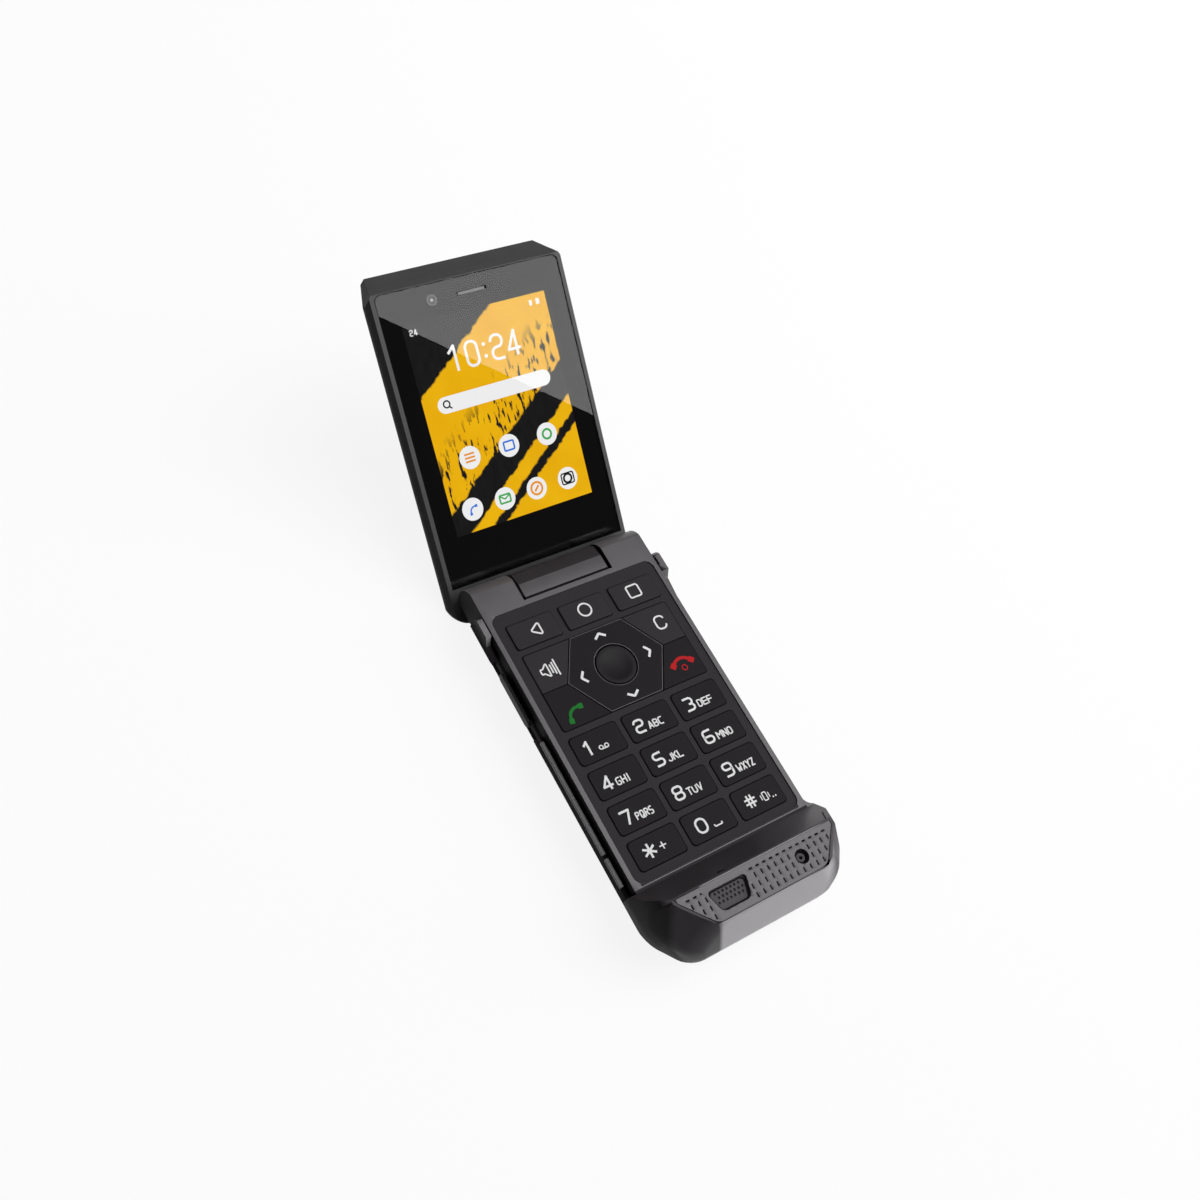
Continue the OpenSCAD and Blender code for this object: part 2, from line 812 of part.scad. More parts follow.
// Chin pieces
module chin_insert() {
  color([0.42, 0.42, 0.43])
    difference() {
      slab(insert_z, chin_z)
        insert_outline(seat_gap);
      slab(insert_z - 1, big)
        window_outline(0);
      translate([mic_x, win_y, insert_z - 0.01])
        cylinder(r1 = 1.1, r2 = 1.9, h = insert_t + 0.02);
    }
}

module speaker_mesh() {
  color([0.2, 0.2, 0.2])
    difference() {
      slab(insert_z - mesh_t, insert_z)
        window_outline(0.4);
      for (row = [0 : 2], i = [-3 : 3])
        translate([win_x + i * 1.15 + (row % 2) * 0.55 - 0.2, win_y + (row - 1) * 1.15 + 0.6, insert_z - 1])
          cylinder(r = 0.36, h = 3);
    }
}

module loudspeaker() {
  color([0.15, 0.15, 0.16])
    block(win_x - 6, win_x + 6, win_y - 3.4, win_y + 3.4, chin_cav_z1 - 4, chin_cav_z1);
}

module microphone() {
  color([0.7, 0.65, 0.4])
    difference() {
      block(mic_x - 1.8, mic_x + 1.8, win_y - 1.4, win_y + 1.4, chin_cav_z1 - 1.1, chin_cav_z1);
      translate([mic_x, win_y, chin_cav_z1 - 0.6])
        cylinder(r = 0.4, h = 1);
    }
}

// Port and its flap
module usb_socket() {
  y0 = port_y - port_w / 2;
  y1 = port_y + port_w / 2;
  z1 = port_z + port_h;
  color([0.75, 0.75, 0.77]) {
    difference() {
      block(port_x - port_d, port_x, y0, y1, port_z, z1);
      block(port_x - port_d + 0.8, port_x + 1, y0 + 0.4, y1 - 0.4, port_z + 0.3, z1 - 0.3);
    }
    block(port_x - port_d + 0.7, port_x - 1.2, y0 + 1, y1 - 1, port_z + 1.25, z1 - 1.25);
  }
}

module port_flap() {
  color([0.09, 0.09, 0.095])
    on_wall() {
      block(-flap_in, -flap_in + flap_t, flap_y0, flap_y1, flap_w0, flap_w0 + flap_h);
      block(-flap_in, -flap_in + 0.5, flap_y1 - 0.1, flap_hinge_y, flap_w0, flap_w0 + flap_h);
      translate([-flap_hinge_in, flap_hinge_y, flap_w0])
        cylinder(r = flap_hinge_r, h = flap_h);
      block(-flap_in - 0.6, -flap_in + 0.1, port_y - port_w / 2 + 1, port_y + port_w / 2 - 1,
        flap_w0 + 1.9, flap_w0 + flap_h - 1.9);
    }
}

// Side controls
module volume_rocker() {
  color([0.11, 0.11, 0.115]) {
    side_stadium(-control_x, -recess_x - 0.35, side_key_y, rocker_l, side_key_h);
    for (dy = [-rocker_l / 3, rocker_l / 3])
      block(-recess_x - 0.5, -cav_x - 0.05, side_key_y + dy - 0.8, side_key_y + dy + 0.8,
        plunger_z, plunger_z + plunger_h);
    block(-recess_x - 0.5, -recess_x + 1.2, side_key_y - 0.8, side_key_y + 0.8,
      plunger_z, plunger_z + plunger_h);
  }
}

module side_key() {
  color([0.11, 0.11, 0.115]) {
    side_stadium(recess_x + key_travel + 0.1, control_x, side_key_y, side_key_l, side_key_h);
    block(cav_x + 0.15, recess_x + key_travel + 0.3, side_key_y - 0.8, side_key_y + 0.8,
      plunger_z, plunger_z + plunger_h);
  }
}

module side_switches() {
  color([0.7, 0.7, 0.66]) {
    for (dy = [-rocker_l / 3, rocker_l / 3])
      block(-switch_x, -switch_x + 0.9, side_key_y + dy - 1.6, side_key_y + dy + 1.6, floor_z, board_z);
    block(switch_x - 0.9, switch_x, side_key_y - 1.6, side_key_y + 1.6, floor_z, board_z);
  }
}

module side_strips() {
  x0 = groove_x + 0.1;
  x1 = rail_x - 1.2;
  recess_front = side_key_y - rocker_l / 2 - 4;
  break_y = row_y[0] + num_l / 2 - 0.1;
  color([0.4, 0.4, 0.41])
    both_sides() {
      block(x0, x1, deck_y0 + 2.6, break_y - 0.4, rail_z, rail_z + 0.8);
      block(x0, x1, break_y + 0.6, recess_front - 1.5, rail_z, rail_z + 0.8);
    }
}

module case_screws() {
  color([0.3, 0.3, 0.31])
    both_sides()
      for (p = screw_places)
        translate([p[0], p[1], 0.35])
          difference() {
            union() {
              cylinder(r = screw_head_r, h = 0.85);
              cylinder(r = screw_r, h = mat_z - 0.5);
            }
            cylinder(r = 0.7, h = 1.2, $fn = 6, center = true);
          }
}

// Hinge: sprung cam unit on the left, plain pin on the right
module hinge_cam_unit() {
  color([0.6, 0.6, 0.62])
    difference() {
      axis_bar(-deck_x + 0.7, -slot_x, cam_r);
      axis_bar(-slot_x - 7, 0, pin_r + shaft_gap);
    }
}

module hinge_pin() {
  color([0.75, 0.75, 0.77])
    axis_bar(slot_x - 5, deck_x - 2.7, pin_r);
}

module hinge_shaft() {
  color([0.75, 0.75, 0.77])
    lid_pose() {
      axis_bar(-slot_x - 6.5, -slot_x + 0.4, pin_r);
      axis_bar(-slot_x + 0.4, -slot_x + 7, pin_r + 0.8);
    }
}

// Barrel of the lid: round under the lid, flat where it lies level with the deck
module hinge_barrel() {
  x = barrel_l / 2;
  face = hinge_y + 1;
  facet_drop = 15.6;
  color([0.36, 0.36, 0.37])
    difference() {
      lid_pose()
        intersection() {
          union() {
            axis_bar(-x, x, barrel_r);
            block(-x, x, hinge_y - 1, hinge_y + 3.2, hinge_z, lid_in_z);
          }
          block(-big, big, -big, big, -big, lid_in_z);
        }
      block(-big, big, -big, big, deck_z, big);
      translate([0, face, deck_z])
        rotate([-facet_drop, 0, 0])
          block(-big, big, 0, 9, 0, 9);
      axis_bar(-slot_x + 0.4, -slot_x + 7, pin_r + 0.8);
      axis_bar(-big, -slot_x + 1, pin_r + shaft_gap);
      axis_bar(slot_x - 5.3, big, pin_r + shaft_gap);
    }
}

// Outer shape of the whole lid, closed
module lid_section() {
  polygon(mirrored([[lid_x - 0.9, lid_in_z], [lid_x, lid_in_z + 2], [lid_x, lid_in_z + 3.6],
    [lid_x - 3.6, chin_z]]));
}

module lid_profile() {
  z = chin_z - 2.2;
  polygon([[lid_end_y(lid_in_z), lid_in_z], [lid_end_y(z), z], [lid_end_y(z) + 1.6, chin_z],
    [heel_y(chin_z), chin_z], [heel_y(lid_in_z), lid_in_z]]);
}

module lid_plan() {
  end_y = lid_end_y(chin_z - 2.2);
  r = lid_corner_r;
  difference() {
    polygon(mirrored([[lid_x - 4, end_y], [lid_x, end_y + 7], [lid_x, lid_tip_y]]));
    for (s = [-1, 1])
      translate([s * (lid_x - r), lid_tip_y - r])
        difference() {
          translate([s > 0 ? 0 : -r - 1, 0])
            square(r + 1);
          circle(r);
        }
  }
}

module lid_solid() {
  intersection() {
    along_y(-big, big)
      lid_section();
    along_x(-lid_x, lid_x)
      lid_profile();
    slab(0, big)
      lid_plan();
  }
}

module glass_outline(gap) {
  cut = 1.2;
  x = glass_w / 2 - gap;
  polygon([[-x, glass_y1 - gap], [x, glass_y1 - gap], [x, glass_y0 + gap + cut], [x - cut, glass_y0 + gap],
    [-x + cut, glass_y0 + gap], [-x, glass_y0 + gap + cut]]);
}

module display_outline(grow) {
  translate([0, display_y])
    square([display_w + 2 * grow, display_l + 2 * grow], center = true);
}

module lid_front_frame() {
  color([0.3, 0.3, 0.31])
    lid_pose()
      difference() {
        intersection() {
          lid_solid();
          slab(0, seam_z)
            square(big, center = true);
        }
        slab(0, glass_back_z)
          glass_outline(-seat_gap);
        slab(0, big)
          display_outline(panel_border + seat_gap);
        block(-ear_l / 2 - 0.2, ear_l / 2 + 0.2, ear_y - 1.3, ear_y + 1.3, 0, big);
        translate([camera_x, ear_y, 0])
          cylinder(r = camera_r + seat_gap, h = big);
        both_sides() {
          axis_bar(slot_x - run_gap, deck_x + run_gap, knuckle_r + 0.4);
          for (p = lid_screw_places)
            translate([p[0], p[1], 0]) {
              cylinder(r = 0.7, h = big);
              cylinder(r = 1.4, h = glass_back_z + 0.8);
            }
        }
      }
}

module screen_glass() {
  color([0.02, 0.02, 0.022])
    lid_pose()
      difference() {
        slab(glass_z, glass_back_z)
          glass_outline(0);
        block(-ear_l / 2, ear_l / 2, ear_y - 0.35, ear_y + 0.35, 0, big);
      }
}

module display_panel() {
  color([0.85, 0.65, 0.1])
    lid_pose()
      slab(glass_back_z, seam_z - 0.05)
        display_outline(panel_border);
}

// Rear shell of the lid, with the window of the outer display
module lid_cavity() {
  x = lid_x - lid_wall - 1.2;
  top_z = chin_z - lid_wall;
  end_y = lid_end_y(seam_z) + 3;
  rear_y = heel_y(seam_z) - 3;
  along_x(-x, x)
    polygon([[end_y, seam_z - 1], [end_y, seam_z], [lid_end_y(chin_z) + 5, top_z],
      [heel_y(chin_z) - 3, top_z], [rear_y, seam_z], [rear_y, seam_z - 1]]);
}

module outer_outline(gap) {
  round_rect(-out_w / 2 - gap, out_w / 2 + gap, out_y - out_l / 2 - gap, out_y + out_l / 2 + gap, 4);
}

module outer_display_outline(grow) {
  x = out_display_w / 2 + grow;
  y1 = rear_camera_y - rear_camera_r - 2.5;
  y0 = y1 - out_display_w;
  round_rect(-x, x, y0 - grow, y1 + grow, 0.5);
}

module lid_rear_shell() {
  color([0.12, 0.12, 0.125])
    lid_pose()
      difference() {
        intersection() {
          lid_solid();
          slab(seam_z, big)
            square(big, center = true);
        }
        difference() {
          intersection() {
            lid_cavity();
            along_y(-big, big)
              polygon(mirrored([[lid_x - lid_wall - 1.2, 0], [lid_x - lid_wall - 1.2, lid_in_z + 4],
                [lid_x - 4.6, chin_z - lid_wall]]));
          }
          both_sides()
            for (p = lid_screw_places)
              translate([p[0], p[1], 0])
                cylinder(r = 1.9, h = seam_z + 4);
        }
        slab(chin_z - out_glass_t, big)
          outer_outline(seat_gap);
        slab(0, big)
          outer_display_outline(seat_gap);
        translate([0, rear_camera_y, 0])
          cylinder(r = rear_camera_r + seat_gap, h = big);
        both_sides()
          for (p = lid_screw_places)
            translate([p[0], p[1], 0])
              cylinder(r = 0.7, h = seam_z + 3);
      }
}

module lid_board() {
  color([0.05, 0.3, 0.16])
    lid_pose()
      slab(seam_z, seam_z + board_t)
        difference() {
          translate([0, display_y])
            square([2 * (lid_x - lid_wall - 4.4), display_l + 9], center = true);
          translate([0, rear_camera_y])
            circle(rear_camera_r + 0.3);
        }
}

module earpiece() {
  color([0.25, 0.25, 0.26])
    lid_pose()
      block(-ear_l / 2, ear_l / 2, ear_y - 1.1, ear_y + 1.1, glass_back_z, seam_z - 0.1);
}

module front_camera() {
  color([0.05, 0.05, 0.07])
    lid_pose()
      translate([camera_x, ear_y, glass_back_z]) {
        cylinder(r = camera_r, h = 1);
        cylinder(r = camera_r - 0.5, h = seam_z - glass_back_z - 0.1);
      }
}

module outer_glass() {
  color([0.02, 0.02, 0.022])
    lid_pose()
      slab(chin_z - out_glass_t, chin_z)
        outer_outline(0);
}

module outer_display() {
  color([0.1, 0.1, 0.12])
    lid_pose()
      slab(chin_z - out_glass_t - 2.2, chin_z - out_glass_t)
        outer_display_outline(0);
}

module rear_camera() {
  color([0.08, 0.08, 0.1])
    lid_pose()
      translate([0, rear_camera_y, seam_z + 0.6])
        cylinder(r = rear_camera_r, h = chin_z - out_glass_t - seam_z - 0.6);
}

module lid_screws() {
  color([0.3, 0.3, 0.31])
    lid_pose()
      both_sides()
        for (p = lid_screw_places)
          translate([p[0], p[1], glass_back_z]) {
            cylinder(r = 1.3, h = 0.8);
            cylinder(r = 0.7, h = seam_z - glass_back_z + 2.8);
          }
}

rear_shell();
deck_frame();
keypad_panel();
key_mat();
dome_sheet();
main_board();
shield_cans();
battery_pack();
battery_cover();
cover_seal();
cover_lock();
chin_insert();
speaker_mesh();
loudspeaker();
microphone();
usb_socket();
port_flap();
volume_rocker();
side_key();
side_switches();
side_strips();
case_screws();
hinge_cam_unit();
hinge_pin();
nav_key(0);  // back_key
nav_key(1);  // home_key
nav_key(2);  // recents_key
corner_key(-1, 1);  // speaker_key
corner_key(1, 1);  // clear_key
corner_key(-1, -1);  // call_key
corner_key(1, -1);  // end_key
dpad_pivot();
dpad_plate();
ok_key();
num_key(0, 3);  // key_1
num_key(1, 3);  // key_2
num_key(2, 3);  // key_3
num_key(0, 2);  // key_4
num_key(1, 2);  // key_5
num_key(2, 2);  // key_6
num_key(0, 1);  // key_7
num_key(1, 1);  // key_8
num_key(2, 1);  // key_9
num_key(0, 0);  // star_key
num_key(1, 0);  // key_0
num_key(2, 0);  // hash_key
lid_front_frame();
hinge_barrel();
hinge_shaft();
lid_rear_shell();
screen_glass();
display_panel();
lid_board();
earpiece();
front_camera();
outer_glass();
outer_display();
rear_camera();
lid_screws();
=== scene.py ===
import json
import math

import bmesh
import bpy
from mathutils import Matrix, Vector


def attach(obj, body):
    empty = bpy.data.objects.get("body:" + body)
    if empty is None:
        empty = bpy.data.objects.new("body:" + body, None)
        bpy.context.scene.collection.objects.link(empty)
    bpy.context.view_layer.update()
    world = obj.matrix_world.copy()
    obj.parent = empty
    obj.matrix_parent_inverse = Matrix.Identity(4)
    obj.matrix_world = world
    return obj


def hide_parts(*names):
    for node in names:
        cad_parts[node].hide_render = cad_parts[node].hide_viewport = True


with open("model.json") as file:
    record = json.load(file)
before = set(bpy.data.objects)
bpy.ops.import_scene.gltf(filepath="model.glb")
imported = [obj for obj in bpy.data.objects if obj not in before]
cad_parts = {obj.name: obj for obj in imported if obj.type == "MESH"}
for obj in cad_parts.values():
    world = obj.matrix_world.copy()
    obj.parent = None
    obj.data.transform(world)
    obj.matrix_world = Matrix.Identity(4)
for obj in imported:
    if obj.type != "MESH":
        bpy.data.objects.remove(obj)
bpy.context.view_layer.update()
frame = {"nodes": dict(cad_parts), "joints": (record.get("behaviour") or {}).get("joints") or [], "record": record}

# Shapes are drawn in millimetres, and those of the lid with the lid closed
MM = 0.001
HINGE_JOINT = next(j for j in frame["joints"] if j["name"] == "lid_hinge")
HINGE = Vector(HINGE_JOINT["pos_m"]) / MM
OPEN_ANGLE = math.radians(HINGE_JOINT["range_deg"][1])
OPEN = Matrix.Translation(HINGE) @ Matrix.Rotation(-OPEN_ANGLE, 4, "X") @ Matrix.Translation(-HINGE)
CLOSE = OPEN.inverted()
BASE_POSE = Matrix()
BODY_OF = {node: body for body, nodes in frame["record"]["behaviour"]["bodies"].items() for node in nodes}


def corners(node):
    """Lowest and highest corner of a node in millimetres, with the lid closed."""
    place = CLOSE if BODY_OF[node] == "lid" else BASE_POSE
    points = [place @ (v.co / MM) for v in frame["nodes"][node].data.vertices]
    low = Vector([min(p[i] for p in points) for i in range(3)])
    high = Vector([max(p[i] for p in points) for i in range(3)])
    return low, high


def middle(node):
    low, high = corners(node)
    return (low + high) / 2


# Colours are given as they look on a screen, 0 to 255
def tone(red, green, blue):
    """The linear colour that shows as these three screen values."""
    shares = [c / 255 for c in (red, green, blue)]
    return [s / 12.92 if s <= 0.04045 else ((s + 0.055) / 1.055) ** 2.4 for s in shares]


def grey(value):
    return tone(value, value, value + 1)


def graphite(value):
    """The faintly violet grey of the base's plastics."""
    return tone(value + 2, value - 1, value + 2)


def dimmed(colour, share):
    return [c * share for c in colour]


# Shader maths
def math_node(operation):
    def calculate(*values):
        return values[0].finish.node("ShaderNodeMath", dict(enumerate(values)), operation=operation)
    return calculate


class Wire:
    """A value on a surface. Sums and products of these add Math nodes to the finish they belong to."""

    def __init__(self, finish, socket):
        self.finish, self.socket = finish, socket

    __add__ = __radd__ = math_node("ADD")
    __sub__ = math_node("SUBTRACT")
    __mul__ = __rmul__ = math_node("MULTIPLY")
    __truediv__ = math_node("DIVIDE")
    __abs__ = math_node("ABSOLUTE")
    either = math_node("MAXIMUM")
    both = math_node("MINIMUM")

    def __rsub__(self, other):
        return self * -1 + other

    def above(self, level, blur):
        """0 under level and 1 over it, changing over the width blur."""
        return ((self - level) / blur + 0.5).both(1).either(0)


class Finish:
    """One material and the nodes that make it."""

    def __init__(self, name):
        self.material = bpy.data.materials.new(name)
        self.material.use_nodes = True
        self.tree = self.material.node_tree
        self.tree.nodes.clear()
        self.output = self.tree.nodes.new("ShaderNodeOutputMaterial")
        self.place = self.node("ShaderNodeTexCoord", out="Object")

    def node(self, kind, inputs=None, out=0, **settings):
        """Adds a node, feeds its sockets with values or wires, and gives one of its outputs."""
        made = self.tree.nodes.new(kind)
        for key, value in settings.items():
            setattr(made, key, value)
        for key, value in (inputs or {}).items():
            self.feed(made.inputs[key], value)
        return Wire(self, made.outputs[out])

    def feed(self, socket, value):
        if isinstance(value, Wire):
            self.tree.links.new(value.socket, socket)
        elif socket.type == "RGBA":
            socket.default_value = (*value, 1)
        else:
            socket.default_value = value

    def noise(self, size, detail=2, stretch=(1, 1, 1)):
        """Noise whose lumps are about size millimetres, from 0 to 1."""
        scale = [s / (size * MM) for s in stretch]
        where = self.node("ShaderNodeMapping", {"Vector": self.place, "Scale": scale})
        return self.node("ShaderNodeTexNoise", {"Vector": where, "Scale": 1, "Detail": detail}, "Fac")

    def mix(self, share, first, second):
        """The first colour where share is 0 and the second where it is 1."""
        made = self.tree.nodes.new("ShaderNodeMix")
        made.data_type = "RGBA"
        colours = [s for s in made.inputs if s.type == "RGBA"]
        self.feed(made.inputs[0], share)
        self.feed(colours[0], first)
        self.feed(colours[1], second)
        return Wire(self, next(s for s in made.outputs if s.type == "RGBA"))

    def mix_shader(self, share, first, second):
        return self.node("ShaderNodeMixShader", {0: share, 1: first, 2: second})

    def axes(self, vector):
        return [self.node("ShaderNodeSeparateXYZ", {0: vector}, axis) for axis in "XYZ"]

    def millimetres(self, place=BASE_POSE):
        """X, Y and Z of the surface in millimetres, after moving it by place."""
        inputs = {"Vector": self.place, "Location": place.translation, "Rotation": place.to_euler(),
                  "Scale": (1 / MM,) * 3}
        return self.axes(self.node("ShaderNodeMapping", inputs))

    def facing(self):
        """X, Y and Z of the way the surface faces."""
        return self.axes(self.node("ShaderNodeTexCoord", out="Normal"))

    def bump(self, height, depth):
        return self.node("ShaderNodeBump", {"Height": height, "Strength": 1, "Distance": depth * MM})

    def shader(self, colour, roughness, others=()):
        inputs = {"Base Color": colour, "Roughness": roughness, **dict(others)}
        return self.node("ShaderNodeBsdfPrincipled", inputs)

    def done(self, shader):
        self.tree.links.new(shader.socket, self.output.inputs["Surface"])
        return self.material

    def surface(self, *inputs):
        return self.done(self.shader(*inputs))

    def glow(self, shade, roughness):
        """A surface that gives light and has no shine."""
        return self.surface((0, 0, 0), roughness, {"Specular IOR Level": 0.0, "Emission Color": shade,
                                                   "Emission Strength": 1.0})


# Finishes
FINE_GRAIN = 0.3
CLOUD_SIZE = 7
CLOUD_SHARE = 0.7
DARKEST = 0.86
LIGHTEST = 1.16
CLOUD_GLOSS = 0.16
GRAIN_GLOSS = 0.1


def moulded(name, colour, roughness, grain=FINE_GRAIN, depth=0.012, sheen=0.5):
    """Moulded plastic: a fine grain, faint clouds of colour and a gloss that varies a little."""
    finish = Finish(name)
    fine = finish.noise(grain, 3)
    cloud = finish.noise(CLOUD_SIZE, 4)
    shade = finish.mix(cloud * CLOUD_SHARE + fine * (1 - CLOUD_SHARE), dimmed(colour, DARKEST),
                       dimmed(colour, LIGHTEST))
    gloss = (cloud - 0.5) * CLOUD_GLOSS + (fine - 0.5) * GRAIN_GLOSS + roughness
    return finish.surface(shade, gloss, {"Specular IOR Level": sheen, "Normal": finish.bump(fine, depth)})


# Where the chin's painted light and painted shade change. A lean is a border's shift for each millimetre under the
# top
CHIN_LOW, CHIN_HIGH = corners("chin_insert")
FACET_START = 16.2
FACET_LEAN = 0.19
FACET_BLUR = 1.2
FRONT_FADE = 20
FRONT_FADE_RUN = 4
SLOPE_FADE = 15
SLOPE_FADE_RUN = 22
FLANK_START = -38.1
FLANK_LEAN = 0.8
FLANK_BLUR = 2
TURN_BLUR = 0.3


def chin_painted_light():
    """Satin chin with painted light: the front painted lit between its corners, painted shade on the left facet,
    near-black flanks, and a slope painted lighter to the right.
    """
    finish = Finish("satin_graphite_chin_painted_light")
    x, y, z = finish.millimetres()
    face_x, face_y, _ = finish.facing()
    down = CHIN_HIGH.z - z
    fine = finish.noise(FINE_GRAIN, 3)
    cloud = finish.noise(CLOUD_SIZE, 4)
    # Painted light: the slope is lighter towards the right, where light falls on it
    slope = finish.mix(x.above(SLOPE_FADE, SLOPE_FADE_RUN), graphite(53), graphite(92))
    top = finish.mix(cloud, graphite(66), graphite(73))
    shade = finish.mix(face_y.above(0.4, TURN_BLUR), top, slope)
    # Painted shade on the left end of the front and the left facet; the front is painted lit, and darker past the
    # right corner
    left = (down * FACET_LEAN - FACET_START - x).above(0, FACET_BLUR)
    right = x.above(FRONT_FADE, FRONT_FADE_RUN)
    front = finish.mix(cloud, graphite(166), graphite(174))
    front = finish.mix(right, front, graphite(76))
    front = finish.mix(left, front, graphite(50))
    shade = finish.mix((face_y * -1).above(0.3, TURN_BLUR), shade, front)
    behind = (y - FLANK_START + down * FLANK_LEAN).above(0, FLANK_BLUR)
    flank = behind.both(abs(face_x).above(0.5, TURN_BLUR))
    shade = finish.mix(flank, shade, graphite(20))
    gloss = (cloud - 0.5) * 0.12 + (fine - 0.5) * 0.05 + flank * 0.2 + 0.37
    return finish.surface(shade, gloss, {"Specular IOR Level": 0.13, "Normal": finish.bump(fine, 0.004)})


def brushed(name, colour, roughness):
    """Metal with fine lines along X."""
    finish = Finish(name)
    lines = finish.noise(0.12, 2, (0.04, 1, 1))
    cloud = finish.noise(5, 3)
    shade = finish.mix(lines * 0.6 + cloud * 0.4, dimmed(colour, 0.75), colour)
    gloss = lines * 0.15 + roughness
    return finish.surface(shade, gloss, {"Metallic": 1.0, "Normal": finish.bump(lines, 0.004)})


def printed(name, colour):
    """Ink: even, with a faint mottle."""
    finish = Finish(name)
    mottle = finish.noise(0.4)
    shade = finish.mix(mottle, dimmed(colour, 0.92), colour)
    return finish.surface(shade, mottle * 0.1 + 0.5, {"Specular IOR Level": 0.1})


def lit(name, colour):
    """A patch of the lit display: light only, a little uneven."""
    finish = Finish(name)
    mottle = finish.noise(0.9)
    return finish.glow(finish.mix(mottle, dimmed(colour, 0.93), colour), 0.5)


SHELL = moulded("soft_black_shell", graphite(24), 0.55, sheen=0.12)
# The chin's finish, with painted light and painted shade
CHIN = chin_painted_light()
# A lighter grey standing in for light on the lugs' shaded faces
LUG = moulded("satin_lug_painted_light", graphite(94), 0.4)
DECK = moulded("satin_graphite_deck", graphite(78), 0.36)
LID_SHELL = moulded("satin_lid_shell", grey(40), 0.45, sheen=0.22)
LID_FRAME = moulded("satin_lid_frame", grey(62), 0.4, sheen=0.4)
PANEL = moulded("key_panel_black", graphite(45), 0.55, sheen=0.1)
KEYCAP = moulded("keycap_black", graphite(28), 0.5, sheen=0.08)
NAV_CAP = moulded("navigation_cap_black", graphite(41), 0.45, sheen=0.12)
INSERT = moulded("chin_insert_grey", graphite(92), 0.45, grain=0.45)
# Painted shade for the floors of the insert's slots
SLOT_FLOOR_SHADE = moulded("insert_slot_floor_painted_shade", graphite(30), 0.7, sheen=0.1)
# Painted shade for the barrel's faces turned towards the lid
BARREL_BACK_SHADE = moulded("barrel_back_painted_shade", graphite(40), 0.5, sheen=0.2)
# A painted highlight for the rocking plate's top edge
PAD_EDGE_HIGHLIGHT = moulded("pad_edge_painted_highlight", graphite(80), 0.4)
CENTRE_CAP = moulded("centre_cap_black", graphite(25), 0.4, sheen=0.12)
# Near black for painted shade in gaps, hollows and on the deck's sides, and for a dark seam
SHADE_AND_SEAM_BLACK = moulded("insert_slot_dark", graphite(16), 0.7, sheen=0.1)
RUBBER = moulded("port_rubber", graphite(40), 0.7, sheen=0.3)
SIDE_BUTTON = moulded("side_button_black", graphite(24), 0.5, sheen=0.2)
STRIP = moulded("rail_strip_grey", graphite(92), 0.4, depth=0.003)
MESH = moulded("speaker_mesh_grey", graphite(60), 0.5, sheen=0.3)
CLOTH = moulded("earpiece_cloth_grey", grey(146), 0.8, sheen=0.1)
FELT = moulded("speaker_felt_grey", graphite(84), 0.9, sheen=0.0)
SILICONE = moulded("key_mat_silicone", grey(190), 0.6)
FILM = moulded("dome_film", tone(214, 208, 190), 0.35)
BOARD = moulded("board_green", tone(30, 104, 62), 0.4, grain=0.8)
BATTERY = moulded("battery_wrap", grey(96), 0.45)
SEAL = moulded("cover_seal_red", tone(150, 62, 50), 0.6)
MODULE = moulded("module_dark", grey(60), 0.5)
SWITCH = moulded("switch_pale", grey(170), 0.45)
SHIELD = brushed("shield_tin", grey(190), 0.35)
STEEL = brushed("hinge_steel", grey(196), 0.25)
SCREW = brushed("screw_black", grey(80), 0.35)
LOCK = brushed("lock_steel", grey(140), 0.3)
WHITE_INK = printed("legend_white", grey(236))
GREEN_INK = printed("legend_green", tone(28, 120, 44))
RED_INK = printed("legend_red", tone(190, 28, 34))
LIT_WHITE = lit("lit_white", grey(244))
LIT_BLUE = lit("lit_blue", tone(60, 120, 220))
LIT_GREEN = lit("lit_green", tone(70, 170, 90))
LIT_ORANGE = lit("lit_orange", tone(236, 150, 40))
LIT_BLACK = lit("lit_black", grey(26))

# Finishes of the screen
DISPLAY_LOW, DISPLAY_HIGH = corners("display_panel")
SCREEN_MID = (DISPLAY_LOW + DISPLAY_HIGH) / 2
PANEL_BORDER = 1.4
SCREEN_W = DISPLAY_HIGH.x - DISPLAY_LOW.x - 2 * PANEL_BORDER
SCREEN_L = DISPLAY_HIGH.y - DISPLAY_LOW.y - 2 * PANEL_BORDER
CAMERA_MID = middle("front_camera")
GLASS_LOW, GLASS_HIGH = corners("screen_glass")
GLASS_GAP = 0.2
GLASS_BACK = GLASS_HIGH.z - GLASS_GAP
PRINT_DEPTH = 0.1
EYE_HOLE_SQUARED = 2.4
GLINT_DOT_SQUARED = 0.16
BAND_EDGE = 0.5


def wallpaper():
    """The lit picture: worn black bands on yellow."""
    finish = Finish("display_picture")
    x, y, _ = finish.millimetres(CLOSE)
    up = (y - SCREEN_MID.y) * -1
    across = up * 0.8 - x * 0.6
    ragged = finish.noise(2.4, 6) * 2.2 - 1.1
    scratch = finish.noise(1.1, 5, (1, 0.25, 0.25))
    edge = across + ragged
    band = (3.8 - abs(edge + 9)).above(0, BAND_EDGE)
    thin_band = (1.3 - abs(edge + 18)).above(0, BAND_EDGE)
    corner = edge.above(20, BAND_EDGE)
    worn = (scratch - 0.57).above(0, 0.05).both((8 - abs(across + 2)).above(0, 6))
    dark = band.either(thin_band).either(corner).either(worn)
    cloud = finish.noise(9, 4)
    paint = finish.mix(cloud, tone(226, 162, 2), tone(244, 190, 12))
    soot = finish.mix(scratch, grey(6), grey(30))
    return finish.glow(finish.mix(dark, paint, soot), 0.4)


def from_camera_squared(x, y):
    dx, dy = x - CAMERA_MID.x, y - CAMERA_MID.y
    return dx * dx + dy * dy


